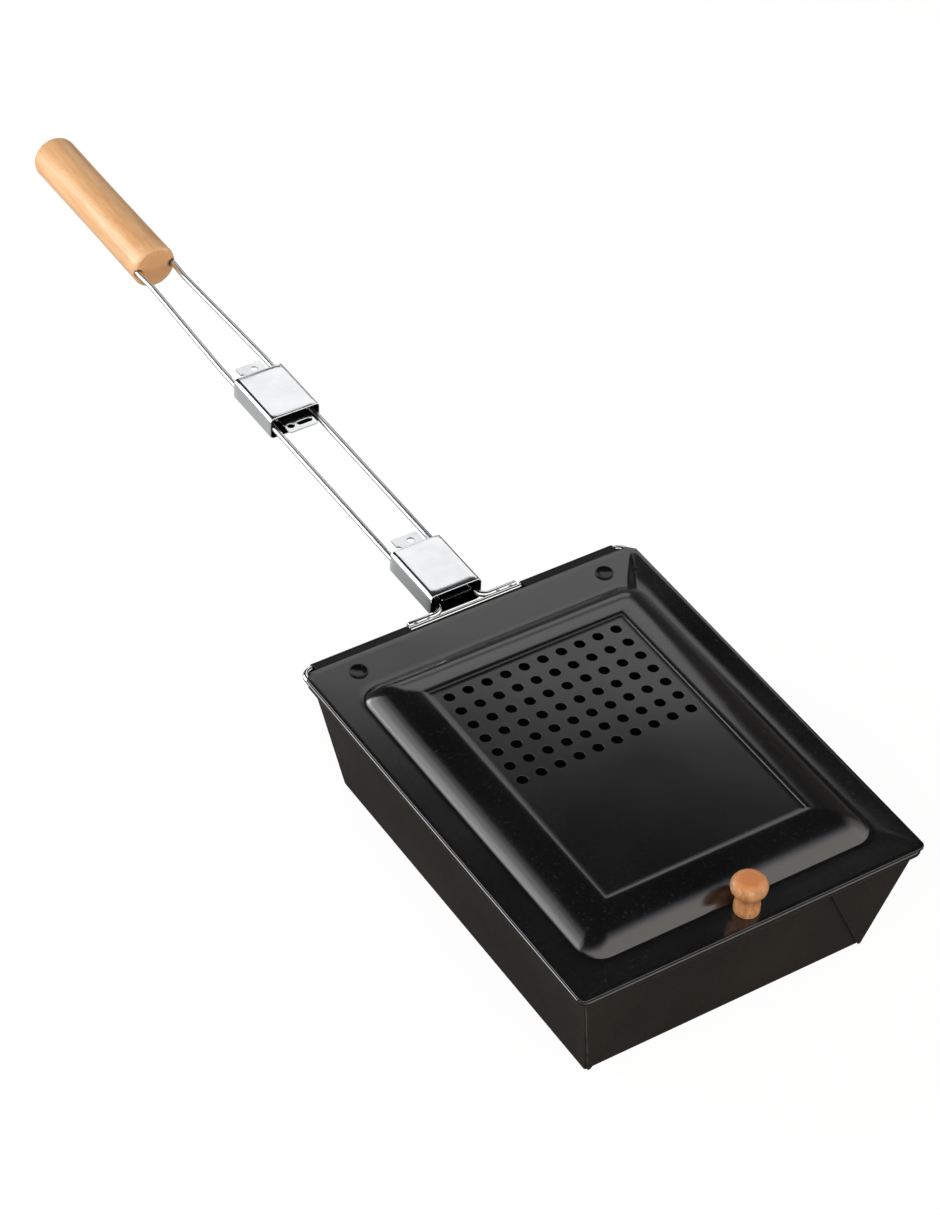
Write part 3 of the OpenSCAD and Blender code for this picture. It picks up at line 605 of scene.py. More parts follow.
def make_corner_flaps():
    """Sheet left over at the corners, folded flat on the end walls."""
    lean = math.atan2(-PAN_LOW.y - BOTTOM_Y, PAN_HIGH.z)
    side_lean = math.atan2(PAN_HIGH.x - BOTTOM_X, PAN_HIGH.z)
    flap_angles = {-1: math.radians(33), 1: math.radians(39)}
    height = (WIRE_Z - BEAD_R - 0.5 * MM) / math.cos(lean)
    thick = 1.2 * MM
    soft = 0.3 * MM
    for ye in (-1, 1):
        bm = bmesh.new()
        for xe in (-1, 1):
            reach = height * math.tan(flap_angles[xe] - side_lean)
            outline = [(0.8 * MM, 1.5 * MM), (-height * math.tan(side_lean) + 0.6 * MM, height),
                       (reach, height), (2.0 * MM, 1.5 * MM)]
            middle = Vector((sum(p[0] for p in outline) / 4, sum(p[1] for p in outline) / 4))
            rings = []
            for inset, out in ((0.0, 0.05 * MM), (0.0, thick - soft), (0.35 * soft, thick - 0.3 * soft),
                               (soft, thick), (soft + 0.5 * MM, thick)):
                ring = []
                for x, h in outline:
                    away = Vector((x, h)) - middle
                    x, h = middle + away * (1 - inset / away.length)
                    local = Vector((xe * (BOTTOM_X - x), 0, 0))
                    local.y = ye * (BOTTOM_Y + h * math.sin(lean) + out * math.cos(lean))
                    local.z = h * math.cos(lean) - out * math.sin(lean)
                    ring.append(local)
                rings.append(ring)
            loft(bm, rings)
        name = "corner_flaps_front" if ye < 0 else "corner_flaps_back"
        finish_mesh(name, bm, "tray", TRAY_COAT, 40, ["tray_corner_folds"])


def make_rim_wire():
    """The closed wire frame whose back part is the hinge pin."""
    corners = [(0, HINGE_Y, WIRE_Z), (RIM_X, HINGE_Y, WIRE_Z), (RIM_X, RIM_FRONT, WIRE_Z),
               (-RIM_X, RIM_FRONT, WIRE_Z), (-RIM_X, HINGE_Y, WIRE_Z), (0, HINGE_Y, WIRE_Z)]
    path = round_path(corners, [BACK_BEND, FRONT_BEND, FRONT_BEND, BACK_BEND], 14)[:-1]
    bar("rim_wire_frame", path, WIRE_R, "tray", BRIGHT_WIRE, ["rim_wire"], closed=True)


def make_stubs():
    """Short wires from the hinge wire to the first fold."""
    y = STUB_LOW.y + WIRE_R
    for s, side in ((-1, "left"), (1, "right")):
        path = round_path([(s * STUB_HIGH.x, y, WIRE_Z), (s * STUB_HALF, y, WIRE_Z),
                           (s * STUB_HALF, FOLD_1, WIRE_Z), (s * PIN_IN, FOLD_1, WIRE_Z)],
                          [5 * MM, 2 * MM], 12)
        bar("short_wire_" + side, path, WIRE_R, "tray", BRIGHT_WIRE, ["stub_" + side])


def make_welds():
    """Small welds that join the short wires to the hinge wire."""
    bm = bmesh.new()
    half = 1.7 * MM
    y = (HINGE_Y + STUB_LOW.y + WIRE_R) / 2
    for i, x in enumerate((-26, -19, 19, 26)):
        path = [Vector((x * MM + half * t / 8, y, WIRE_Z)) for t in range(-8, 9)]

        def swell(t, i=i):
            u = 2 * t - 1
            return 1.42 * MM * math.sqrt(max(0.03, 1 - u * u)) * (1 + 0.05 * math.sin(11 * t + 2 * i))

        loft(bm, tube_rings(path, swell, 16, ends=(0.1 * MM, 0.1 * MM)))
    finish_mesh("wire_welds", bm, "tray", WELD_STEEL, 60, ["stub_welds"])


# ---- Lid ----

def lid_profile():
    """(distance out from the panel's edge, height over the flange) from the panel to the flange."""
    outer_r, margin_w, margin_h = 0.06 * MM, 1.45 * MM, 0.21 * MM
    base = MOULD_H - PANEL_SINK
    points = [(-2.5 * MM, base), (-0.3 * MM, base), (-0.1 * MM, base + 0.04 * MM), (-0.02 * MM, base + 0.15 * MM)]
    points += [(x + outer_r, MOULD_H - margin_h - outer_r + z) for x, z in arc(0, 0, outer_r, 176, 98, 6)]
    points += [(outer_r + margin_w * t, MOULD_H - margin_h * (1 - t)) for t in (0.05, 0.5, 0.9)]
    split = math.asin(CREST_W / CREST_R)
    start = points[-1][0]
    for i in range(1, 9):
        u = start + (CREST_W - start) * i / 8
        points.append((u, MOULD_H - CREST_R + math.sqrt(CREST_R ** 2 - u ** 2)))
    split_z = MOULD_H - CREST_R * (1 - math.cos(split))
    dx = MOULD_W - CREST_W
    edge_r = (dx * dx + split_z * split_z) / (2 * (split_z * math.cos(split) - dx * math.sin(split)))
    cx, cz = CREST_W - edge_r * math.sin(split), split_z - edge_r * math.cos(split)
    foot = math.acos(-cz / edge_r)
    soft = 1.7 * MM
    stop = foot - soft / edge_r
    for i in range(1, 13):
        a = split + (stop - split) * i / 12
        points.append((cx + edge_r * math.sin(a), cz + edge_r * math.cos(a)))
    x, z = points[-1]
    for i in range(1, 7):
        t = i / 6
        points.append((x + soft * 0.9 * t + 0.25 * MM * t, z * (1 - t) ** 1.8))
    return points


def flange_drop(index):
    """How much of its spring a point of a lid ring has: the side flanges rise outward, the back is flat."""
    corner, run = 10, 16
    side, place = divmod(index, run)
    before, after, far, late = FLANGE_SPRING[side]
    turn = min(1.0, max(0.0, (place / (corner - 1) - late) / 0.3))
    along = max(0, place - corner + 1) / (run - corner)
    return 1.1 * MM * (before + (after - before) * turn * turn * (3 - 2 * turn) + (far - after) * along)


def lid_rings(profile):
    """Rings of the lid from the panel's edge to the foot of the moulding, rounder towards the foot."""
    rings = []
    for u, h in profile:
        share = max(0.0, u / MOULD_W)
        r = 1.0 * MM + (MOULD_CORNER - 1.0 * MM) * share ** 1.6
        rings.append(ring_points(-PANEL_X - u, PANEL_X + u, PANEL_FRONT - u, PANEL_BACK + u, [r] * 4, LID_TOP + h))
    return rings


def make_lid():
    """The lid sheet with its moulding, sunk vented panel and flange."""
    bm = bmesh.new()
    profile = lid_profile()
    top = lid_rings(profile)
    foot = top[-1]
    edge_cut = 3 * MM
    back_cut = -3.5 * MM

    def outline(inset, z):
        return ring_points(-LID_X + inset, LID_X - inset, LID_LOW.y + inset, LID_HIGH.y - inset,
                           [edge_cut, back_cut, back_cut, edge_cut], z)

    rim = outline(0.35 * MM, LID_TOP)
    for i in range(1, 8):
        t = i / 8
        top.append([a.lerp(b, t) for a, b in zip(foot, rim)])
    top.append(rim)
    first_flange = len(profile)
    for k, ring in enumerate(top[first_flange - 3:]):
        share = max(0.0, (k - 4) / 6)
        for i, p in enumerate(ring):
            p.z -= flange_drop(i) * (1 - share)
    step_end = next(k for k, (u, h) in enumerate(profile) if u > 1.0 * MM)
    hidden_step = [(-2.5 * MM, -PANEL_SINK), (0.3 * MM, -PANEL_SINK), (0.6 * MM, -0.3 * MM)]
    under = lid_rings([(u, MOULD_H - SHEET + h) for u, h in hidden_step])
    for k in range(step_end, len(top)):
        before, after = top[max(0, k - 1)], top[min(len(top) - 1, k + 1)]
        ring = []
        for p, a, b in zip(top[k], before, after):
            run = b - a
            flat = Vector((run.x, run.y, 0))
            lean = math.atan2(run.z, flat.length)
            out = flat.normalized() if flat.length > 0 else Vector()
            ring.append(p + (out * math.sin(lean) - Vector((0, 0, math.cos(lean)))) * SHEET)
        under.append(ring)
    edge = [outline(0.1 * MM, LID_TOP - 0.1 * MM), outline(0.0, LID_TOP - 0.3 * MM), outline(0.0, LID_TOP - SHEET)]
    made = loft(bm, top + edge + under[::-1], start_cap=False, end_cap=False)
    panel_top = LID_TOP + MOULD_H - PANEL_SINK
    holes_top, holes_under = [], []
    sides = 20
    first_y = PANEL_BACK - VENT_EDGE - (VENT_ROWS - 1) * VENT_PITCH
    for i in range(VENT_COLS):
        for j in range(VENT_ROWS):
            centre = Vector(((i - (VENT_COLS - 1) / 2) * VENT_PITCH, first_y + j * VENT_PITCH, 0))
            steps = [(0.3, 0.0), (0.06, 0.0), (0.0, -0.06), (-0.02, -0.6), (0.25, -0.6)]
            rings = [[centre + Vector((math.cos(math.tau * k / sides) * (VENT_R + g * MM),
                                       math.sin(math.tau * k / sides) * (VENT_R + g * MM),
                                       panel_top + z * MM)) for k in range(sides)] for g, z in steps]
            walls = loft(bm, rings, start_cap=False, end_cap=False)
            holes_top.append(walls[0])
            holes_under.append(walls[-1])
    fill_flat(bm, [made[0]] + holes_top)
    fill_flat(bm, [made[-1]] + holes_under)
    finish_mesh("lid_pressing", bm, "lid", LID_COAT, 45, ["lid_sheet"])
    bm = bmesh.new()
    hem_back = 109.7 * MM
    hem_w = 3.4 * MM
    low, high = LID_LOW.z - LID_TOP, -SHEET + 0.02 * MM
    section = [(0, high), (0, low + 0.3 * MM), (-0.1 * MM, low + 0.1 * MM), (-0.35 * MM, low),
               (-hem_w + 0.2 * MM, low), (-hem_w, low + 0.15 * MM), (-hem_w, high)]
    sweep(bm, section, rim_path(LID_X, LID_LOW.y, hem_back, edge_cut, LID_TOP))
    finish_mesh("lid_edge_fold", bm, "lid", LID_COAT, 50)


def fill_flat(bm, loops):
    """Fills the flat area between an outer loop and the holes in it."""
    edges = []
    for loop in loops:
        for a, b in zip(loop, loop[1:] + loop[:1]):
            edges.append(bm.edges.get((a, b)) or bm.edges.new((a, b)))
    bmesh.ops.triangle_fill(bm, use_beauty=True, use_dissolve=False, edges=edges)


def make_hinge_leaves():
    """Leaves under the lid whose ends are rolled round the hinge wire."""
    half = 0.34 * MM
    r = WIRE_R + 0.08 * MM + half
    top = LEAF_HIGH.z - WIRE_Z - 0.3 * MM
    line = [Vector((LEAF_LOW.y - HINGE_Y, top)), Vector((-4.8 * MM, top)), Vector((-3.4 * MM, top - 0.12 * MM)),
            Vector((-1.6 * MM, r + 0.32 * MM))]
    line += [Vector((r * math.sin(math.radians(a)), r * math.cos(math.radians(a)))) for a in range(0, 301, 12)]
    left, right = [], []
    for i, p in enumerate(line):
        t = (line[min(i + 1, len(line) - 1)] - line[max(i - 1, 0)]).normalized()
        n = Vector((-t.y, t.x))
        left.append(p + n * half)
        right.append(p - n * half)
    section = left + right[::-1]
    for s, side in ((-1, "left"), (1, "right")):
        bm = bmesh.new()
        x0, x1 = LEAF_LOW.x, LEAF_HIGH.x
        rings = []
        for x, shrink in ((x0, 0.12), (x0 + 0.12 * MM, 0.0), (x1 - 0.12 * MM, 0.0), (x1, 0.12)):
            ring = []
            for i, p in enumerate(section):
                other = section[len(section) - 1 - i]
                q = p + (other - p).normalized() * shrink * MM
                ring.append(Vector((s * x, HINGE_Y + q.x, WIRE_Z + q.y)))
            rings.append(ring)
        made = loft(bm, rings, start_cap=False, end_cap=False)
        count = len(line)
        for ring in (made[0], made[-1]):
            for i in range(count - 1):
                bm.faces.new((ring[i], ring[i + 1], ring[2 * count - 2 - i], ring[2 * count - 1 - i]))
        finish_mesh("hinge_leaf_" + side, bm, "lid", LEAF_COAT, 40, ["lid_hinge_" + side])


def make_rivets():
    """Rivets with dished heads through the lid and the hinge leaves."""
    bm = bmesh.new()
    ball = (DISH_R ** 2 + DISH_H ** 2) / (2 * DISH_H)
    half = math.degrees(math.asin(DISH_R / ball))
    tail = LEAF_HIGH.z - SHEET - 0.05 * MM - LID_TOP
    profile = [(2.2 * MM, tail - 0.8 * MM), (2.55 * MM, tail - 0.6 * MM), (2.6 * MM, tail), (1.6 * MM, tail),
               (1.6 * MM, -0.3 * MM), (RIVET_R - 0.1 * MM, -0.25 * MM), (RIVET_R, -0.1 * MM)]
    profile += [(RIVET_R, RIVET_H - 0.22 * MM), (RIVET_R - 0.08 * MM, RIVET_H - 0.07 * MM),
                (RIVET_R - 0.22 * MM, RIVET_H), (DISH_R + 0.06 * MM, RIVET_H - 0.01 * MM)]
    for i in range(10, 0, -1):
        lean = math.radians(half * i / 10.3)
        profile.append((ball * math.sin(lean), RIVET_H - DISH_H + ball - ball * math.cos(lean)))
    for s in (-1, 1):
        lathe(bm, profile, Vector((s * RIVET_X, RIVET_Y, LID_TOP)), Vector((0, 0, 1)), 40)
    finish_mesh("dished_rivets", bm, "lid", RIVET_COAT, 40, ["lid_rivets"])


def make_knob():
    """The turned wooden knob at the lid's front."""
    centre_y = (KNOB_LOW.y + KNOB_HIGH.y) / 2
    head_r = (KNOB_HIGH.x - KNOB_LOW.x) / 2
    height = KNOB_HIGH.z - KNOB_LOW.z
    foot_r, waist_r, rim_r = 5.9 * MM, 5.4 * MM, 4.5 * MM
    waist_z, head_z, head_x = 7 * MM, height - rim_r + 0.1 * MM, head_r - rim_r
    run, rise = waist_r - head_x, head_z - waist_z
    waist_cut = (run * run + rise * rise - rim_r * rim_r) / (2 * (rim_r - run))
    meet = math.atan2(rise, run + waist_cut)
    foot_z = waist_z - math.sqrt(waist_cut ** 2 - (waist_cut + waist_r - foot_r) ** 2)
    profile = [(1.8 * MM, 0.0), (foot_r - 0.5 * MM, 0.0), (foot_r - 0.1 * MM, 0.15 * MM), (foot_r, 0.6 * MM)]
    for i in range(13):
        z = foot_z + (head_z - rim_r * math.sin(meet) - foot_z) * i / 13
        profile.append((waist_r + waist_cut - math.sqrt(waist_cut ** 2 - (z - waist_z) ** 2), z))
    for i in range(15):
        lean = -meet + (meet + math.radians(76)) * i / 14
        profile.append((head_x + rim_r * math.cos(lean), head_z + rim_r * math.sin(lean)))
    top_r, top_z = profile[-1]
    for i in range(1, 6):
        t = i / 5
        profile.append((top_r * (1 - t) + 0.3 * MM * t, top_z + (height - top_z) * math.sin(t * math.pi / 2)))
    bm = bmesh.new()
    lathe(bm, profile, Vector((0, centre_y, KNOB_LOW.z)), Vector((0, 0, 1)), 56)
    wood = turned_wood("knob_wood", (1.0, 1.0, 0.12), rgb(230, 172, 112), rgb(164, 94, 44),
                       rgb(230, 148, 88), 2, KNOB_HIGH.z - 1.6 * MM, KNOB_HIGH.z - 0.5 * MM)
    finish_mesh("turned_knob", bm, "knob_body", wood, 50, ["knob"])


# ---- Handle ----

def soft_outline(corners, radius):
    """A closed flat outline with small round corners."""
    points = [Vector((x, y, 0)) for x, y in corners]
    closed = [points[-1]] + points + [points[0]]
    out = []
    for before, at, after in zip(closed, closed[1:], closed[2:]):
        r = min(radius, 0.45 * (before - at).length, 0.45 * (after - at).length)
        out += round_path([before, at, after], [r * 0.8], 4)[1:-1]
    return [(p.x, p.y) for p in out]


def flat_plate(name, outline, holes, low, high, soft):
    """A flat plate with holes and softened edges, as a mesh."""
    curve = bpy.data.curves.new(name, "CURVE")
    curve.dimensions = "2D"
    curve.fill_mode = "BOTH"
    curve.extrude = (high - low) / 2 - soft
    curve.bevel_depth = soft
    curve.bevel_resolution = 1
    curve.offset = -soft
    for points in [outline] + holes:
        spline = curve.splines.new("POLY")
        spline.points.add(len(points) - 1)
        for point, (x, y) in zip(spline.points, points):
            point.co = (x, y, 0, 1)
        spline.use_cyclic_u = True
    holder = bpy.data.objects.new(name, curve)
    bpy.context.scene.collection.objects.link(holder)
    bpy.context.view_layer.update()
    mesh = bpy.data.meshes.new_from_object(holder.evaluated_get(bpy.context.evaluated_depsgraph_get()))
    bpy.data.objects.remove(holder)
    bpy.data.curves.remove(curve)
    mesh.transform(Matrix.Translation((0, 0, (low + high) / 2)))
    return mesh


def make_hinge_plate(fold_y, low, high, body, node, name):
    """A hinge plate: tongue, neck, clasps for the wires, rear tongue, holes and barrels."""
    front = low.y - fold_y
    rear = high.y - fold_y
    tongue, neck, rear_half, body_end = 8 * MM, 8.6 * MM, 7 * MM, 27 * MM
    notch_r, notch_y = 2.2 * MM, rear - 7.5 * MM
    right = [(tongue, front), (tongue, -1 * MM), (neck, -1 * MM), (neck, CURL_FROM), (WIRE_HALF, CURL_FROM),
             (WIRE_HALF, CURL_FROM + CURL_L), (neck, CURL_FROM + CURL_L), (neck, body_end),
             (rear_half, body_end), (rear_half, rear)]
    outline = soft_outline(right + [(-x, y) for x, y in right[::-1]], 1.2 * MM)
    split = next(i for i, (x, y) in enumerate(outline) if x < 0 and y < notch_y)
    notch = arc(-rear_half, notch_y, notch_r, 88, -88, 10)
    outline = outline[:split] + notch + outline[split:]
    holes = [arc(1.5 * MM, rear - 4.4 * MM, 1.8 * MM, 0, 345, 23)]
    if -front > 12 * MM:
        hole_y = (front - MOUTH_IN) / 2
        slot, slot_half, slot_r = 2.6 * MM, 2.6 * MM, 1.6 * MM
        holes.append(arc(-5 * MM, hole_y, 1.9 * MM, 0, 345, 23))
        holes.append(arc(slot + slot_half, hole_y, slot_r, -90, 90, 10)
                     + arc(slot - slot_half, hole_y, slot_r, 90, 270, 10))
    plate = flat_plate(name, outline, holes, PLATE_UNDER, PLATE_UNDER + PLATE_T, 0.15 * MM)
    bm = bmesh.new()
    bm.from_mesh(plate)
    bpy.data.meshes.remove(plate)
    outer, inner = PLATE_UNDER + PLATE_T, PLATE_UNDER
    soft = 0.15 * MM
    for s in (-1, 1):
        x0, x1 = s * PIN_IN, s * 8.2 * MM
        step = soft if x1 > x0 else -soft
        rings = [(inner, x0), (outer - soft, x0), (outer, x0 + step), (outer, x1 - step), (outer - soft, x1),
                 (inner, x1)]
        sides = 32
        loft(bm, [[Vector((x, r * math.cos(math.tau * k / sides), r * math.sin(math.tau * k / sides)))
                   for k in range(sides)] for r, x in rings + [rings[0]]], start_cap=False, end_cap=False)
        clasp_in, clasp_out = WIRE_R + 0.02 * MM, WIRE_R + 0.02 * MM + PLATE_T
        for_arc = arc(0, 0, clasp_out, 70, 290, 18)
        back_arc = arc(0, 0, clasp_in, 290, 70, 18)
        section = for_arc + back_arc
        loft(bm, [[Vector((s * (WIRE_HALF + x), y, z)) for x, z in section]
                  for y in (CURL_FROM, CURL_FROM + CURL_L)], start_cap=False, end_cap=False)
        for y in (CURL_FROM, CURL_FROM + CURL_L):
            count = len(for_arc)
            corner = [bm.verts.new((s * (WIRE_HALF + x), y, z)) for x, z in section]
            for i in range(count - 1):
                bm.faces.new((corner[i], corner[i + 1], corner[2 * count - 2 - i], corner[2 * count - 1 - i]))
    bmesh.ops.translate(bm, verts=bm.verts, vec=(0, fold_y, WIRE_Z))
    finish_mesh(name, bm, body, HINGE_PLATE, 20, [node])


def make_sleeve(low, high, body, node, name):
    """A box sleeve bent from bright sheet, with rolled-in mouths and a seam below."""
    half_x, half_z = high.x, (high.z - low.z) / 2
    corner_r = 2.6 * MM
    lip = 0.3 * MM

    def section(y, inset, crown):
        x, z = half_x - inset, half_z - inset
        r = max(0.5 * MM, corner_r - inset)
        ring = ring_points(-x, x, -z, z, [r] * 4, 0.0, corner=7, side=10)
        out = []
        for p in ring:
            middle = max(0.0, 1 - (p.x / (x - r)) ** 2) if abs(p.x) < x - r else 0.0
            sag = 0.12 * MM * middle * crown if p.y > 0 else 0.0
            seam = 0.25 * MM if p.y < 0 and abs(p.x) < 0.3 * MM and crown else 0.0
            out.append(Vector((p.x, y, WIRE_Z + p.y - sag + seam)))
        return out

    y0, y1 = low.y, high.y
    bm = bmesh.new()
    rings = [section(y0, 0.5 * MM, 0), section(y0, lip, 0), section(y0 + 0.1 * MM, 0.08 * MM, 0),
             section(y0 + lip, 0.0, 0)]
    rings += [section(y0 + lip + (y1 - y0 - 2 * lip) * i / 8, 0.0, 1 if 0 < i < 8 else 0) for i in range(1, 8)]
    rings += [section(y1 - lip, 0.0, 0), section(y1 - 0.1 * MM, 0.08 * MM, 0), section(y1, lip, 0),
              section(y1, 0.5 * MM, 0), section(y1 - lip, SLEEVE_T, 0), section(y0 + lip, SLEEVE_T, 0)]
    rings.append(rings[0])
    loft(bm, rings, start_cap=False, end_cap=False)
    piece = finish_mesh(name, bm, body, SLEEVE_PLATE, 45, [node])
    # Marks the inner walls, which get painted shade.
    mark_inside(piece.data, WIRE_Z)


def make_handle_wires():
    """The wires between the folds and from the second fold into the grip."""
    grip_start = GRIP_LOW.y - FOLD_2
    for s, side in ((-1, "left"), (1, "right")):
        path = round_path([(s * WIRE_HALF, FOLD_1 + CURL_FROM, WIRE_Z), (s * WIRE_HALF, FOLD_2, WIRE_Z),
                           (s * PIN_IN, FOLD_2, WIRE_Z)], [2.2 * MM], 10)
        bar("middle_rod_" + side, path, WIRE_R, "middle_section", ROD_PLATE,
            ["middle_wire_" + side])
        bend_half, enter_half = 9.3 * MM, 9.9 * MM
        ends = [(WIRE_HALF, CURL_FROM), (WIRE_HALF, 46 * MM), (bend_half, grip_start - 13 * MM),
                (enter_half, grip_start - 2 * MM), (enter_half, grip_start + 30 * MM)]
        path = round_path([(s * x, FOLD_2 + y, WIRE_Z) for x, y in ends], [60 * MM, 30 * MM, 30 * MM], 10)
        bar("grip_rod_" + side, path, WIRE_R, "grip_section", ROD_PLATE,
            ["grip_wire_" + side])


def make_grip():
    """The turned wooden grip with two burnt-in wire holes."""
    r = (GRIP_HIGH.x - GRIP_LOW.x) / 2
    length = GRIP_HIGH.y - GRIP_LOW.y
    bevel, far = 1.6 * MM, 5 * MM
    profile = [(0.4 * MM, 0.0), (r * 0.5, 0.0), (r - bevel - 0.3 * MM, 0.0), (r - bevel, 0.08 * MM),
               (r - bevel * 0.55, 0.5 * MM), (r - 0.25 * MM, bevel * 0.85), (r, bevel + 0.6 * MM)]
    for i in range(1, 12):
        t = i / 12
        profile.append((r - 0.18 * MM * math.sin(math.pi * t), bevel + 0.6 * MM + (length - far - bevel - 0.6 * MM) * t))
    profile += [(r - far + far * math.cos(math.radians(a)), length - far + far * math.sin(math.radians(a)))
                for a in range(0, 91, 10)]
    profile.append((0.4 * MM, length))
    bm = bmesh.new()
    lathe(bm, profile, Vector((0, GRIP_LOW.y, WIRE_Z)), Vector((0, 1, 0)), 72)
    enter = 9.9 * MM
    wood = turned_wood("grip_wood", (1.0, 0.06, 1.0), rgb(230, 188, 142), rgb(206, 150, 96),
                       rgb(216, 160, 108), 1, GRIP_LOW.y + 0.6 * MM, GRIP_LOW.y + 0.05 * MM,
                       [(-enter, WIRE_Z), (enter, WIRE_Z)])
    piece = finish_mesh("turned_grip", bm, "grip_section", wood, 40, ["wooden_grip"])
    cutter = bmesh.new()
    for s in (-1, 1):
        lathe(cutter, [(2.5 * MM, -1 * MM), (1.95 * MM, 0.0), (1.56 * MM, 1.2 * MM), (1.56 * MM, 3 * MM)],
              Vector((s * enter, GRIP_LOW.y, WIRE_Z)), Vector((0, 1, 0)), 28)
    bmesh.ops.recalc_face_normals(cutter, faces=cutter.faces)
    cut_mesh = bpy.data.meshes.new("wire_holes")
    cutter.to_mesh(cut_mesh)
    cutter.free()
    cut = bpy.data.objects.new("wire_holes", cut_mesh)
    bpy.context.scene.collection.objects.link(cut)
    hollow = piece.modifiers.new("wire_holes", "BOOLEAN")
    hollow.operation = "DIFFERENCE"
    hollow.object = cut
    hollow.solver = "EXACT"
    with bpy.context.temp_override(object=piece, active_object=piece, selected_objects=[piece]):
        bpy.ops.object.modifier_apply(modifier="wire_holes")
    bpy.data.objects.remove(cut)


def dress_small_nodes():
    """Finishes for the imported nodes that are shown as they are."""
    for name in ("knob_screw", "knob_washer"):
        mesh = frame["nodes"][name].data
        mesh.materials.clear()
        mesh.materials.append(SCREW_STEEL)


# ---- Studio ----

def make_floor():
    """A pale floor that fades into the white surroundings; mirrors see it dark except a region behind the tray that
    glows for them only, a painted reflection.
    """
    bm = bmesh.new()
    size = 18.0
    corners = [bm.verts.new((x * size, y * size, -0.1 * MM)) for x, y in ((-1, -1), (1, -1), (1, 1), (-1, 1))]
    bm.faces.new(corners)
    mesh = bpy.data.meshes.new("floor")
    bm.to_mesh(mesh)
    bm.free()
    floor = bpy.data.objects.new("floor", mesh)
    bpy.context.scene.collection.objects.link(floor)
    material = bpy.data.materials.new("pale_floor")
    material.use_nodes = True
    tree = material.node_tree
    tree.nodes.remove(tree.nodes["Principled BSDF"])
    path = tree.nodes.new("ShaderNodeLightPath").outputs
    place = add_node(tree, "ShaderNodeTexCoord").outputs["Object"]
    side, back = add_node(tree, "ShaderNodeSeparateXYZ", {0: place}).outputs[:2]
    # A region of floor behind the tray glows for reflections only: a painted reflection.
    mirror_glow_strip = math_node(tree, "MULTIPLY", ramp(tree, back, 0.16, 0.24),
                       math_node(tree, "MULTIPLY", ramp(tree, side, -0.05, 0.03, 0.4, 1.0),
                                 ramp(tree, side, 0.12, 0.17, 1.0, 0.0)))
    mirrored = math_node(tree, "MULTIPLY", math_node(tree, "MULTIPLY_ADD", mirror_glow_strip, 0.7, 0.05),
                         math_node(tree, "MAXIMUM", path["Is Glossy Ray"], path["Is Transmission Ray"]))
    seen = math_node(tree, "MAXIMUM", math_node(tree, "MULTIPLY", path["Is Camera Ray"], 0.92), mirrored)
    matt = add_node(tree, "ShaderNodeBsdfDiffuse", {"Color": (0.12, 0.12, 0.12, 1)}).outputs[0]
    glow = add_node(tree, "ShaderNodeEmission", {"Color": (1, 1, 1, 1), "Strength": seen}).outputs[0]
    both = add_node(tree, "ShaderNodeAddShader", {0: matt, 1: glow}).outputs[0]
    set_input(tree, tree.nodes["Material Output"].inputs["Surface"], both)
    mesh.materials.append(material)


def make_world():
    """White surroundings up to half height and a dark ceiling, as a tent of white cards gives."""
    world = bpy.data.worlds.new("studio")
    bpy.context.scene.world = world
    world.use_nodes = True
    tree = world.node_tree
    place = add_node(tree, "ShaderNodeTexCoord").outputs["Generated"]
    parts = add_node(tree, "ShaderNodeSeparateXYZ", {0: place}).outputs
    level = math_node(tree, "MULTIPLY_ADD", parts[1], 0.4, parts[2])
    open_sky = ramp(tree, level, 0.57, 0.79, 1.0, 0.0)
    front = ramp(tree, parts[1], -0.3, 0.35, 1.4, 0.06)
    strength = math_node(tree, "MULTIPLY_ADD", front, open_sky, 0.02)
    set_input(tree, tree.nodes["Background"].inputs["Color"],
              mix_colour(tree, open_sky, (0.84, 0.94, 1.12, 1), (1.05, 1.0, 0.94, 1)))
    set_input(tree, tree.nodes["Background"].inputs["Strength"], strength)


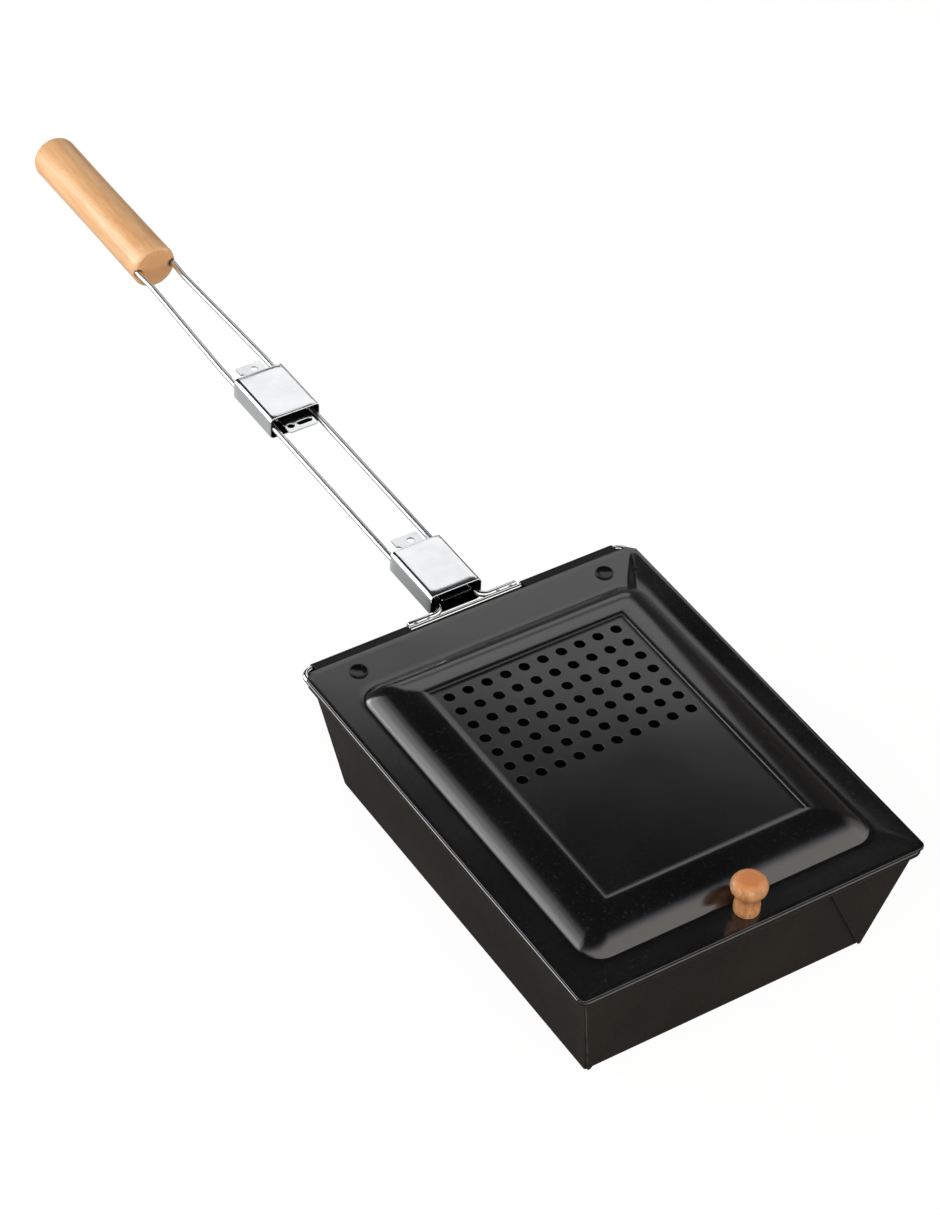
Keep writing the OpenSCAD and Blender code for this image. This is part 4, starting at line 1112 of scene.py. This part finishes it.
def area_lamp(name, place, target, width, height, radiance, mirrored=True):
    """A soft box of a given brightness."""
    lamp = bpy.data.lights.new(name, "AREA")
    lamp.shape = "RECTANGLE"
    lamp.size = width
    lamp.size_y = height
    lamp.energy = radiance * math.pi * width * height
    piece = bpy.data.objects.new(name, lamp)
    piece.location = place
    piece.rotation_euler = (Vector(target) - Vector(place)).to_track_quat("-Z", "Y").to_euler()
    piece.visible_camera = False
    piece.visible_glossy = mirrored
    bpy.context.scene.collection.objects.link(piece)


def make_camera():
    """The viewing place found from the vent grid and the tray's corners."""
    camera = bpy.data.cameras.new("camera")
    camera.lens = 109.63
    camera.sensor_width = 36
    camera.clip_end = 50
    piece = bpy.data.objects.new("camera", camera)
    piece.location = (-0.71450, -0.92855, 1.21927)
    piece.rotation_euler = Euler([math.radians(a) for a in (47.595, -2.296, -32.339)])
    bpy.context.scene.collection.objects.link(piece)
    bpy.context.scene.camera = piece


make_tray()
make_bead()
make_back_hem()
make_corner_flaps()
make_rim_wire()
make_stubs()
make_welds()
make_lid()
make_hinge_leaves()
make_rivets()
make_knob()
make_hinge_plate(FOLD_1, PLATE_LOW, PLATE_HIGH, "middle_section", "inner_hinge_plate", "inner_plate")
make_hinge_plate(FOLD_2, PLATE_2_LOW, PLATE_2_HIGH, "grip_section", "outer_hinge_plate", "outer_plate")
make_sleeve(SLEEVE_LOW, SLEEVE_HIGH, "inner_sleeve_body", "inner_sleeve", "inner_box_sleeve")
make_sleeve(SLEEVE_2_LOW, SLEEVE_2_HIGH, "outer_sleeve_body", "outer_sleeve", "outer_box_sleeve")
make_handle_wires()
make_grip()
dress_small_nodes()
make_floor()
make_world()
for step, (height, radiance) in enumerate(((1.12, 0.5), (0.87, 0.8), (0.62, 1.2), (0.33, 3.2))):
    near = 1 - 0.01 * step
    area_lamp("left_softbox_%d" % step, (-0.79 * near, 0.675 * near, 0.03 + height / 2),
              (0.0, 0.0, 0.03 + height / 2), 1.0, height, radiance)
area_lamp("back_card", (0.404, 0.671, 0.58), (0.404 - 0.566, 0.671 - 0.824, 0.58), 0.58, 0.455, 0.95)
area_lamp("low_back_card", (0.35, 0.75, 0.25), (0.35 - 0.566, 0.75 - 0.824, 0.25), 0.5, 0.1, 0.9)
area_lamp("soft_fill", (-0.5, -0.7, 1.5), (0.0, 0.1, 0.0), 1.0, 1.0, 1.1, mirrored=False)
make_camera()
bpy.context.scene.view_settings.view_transform = "Standard"
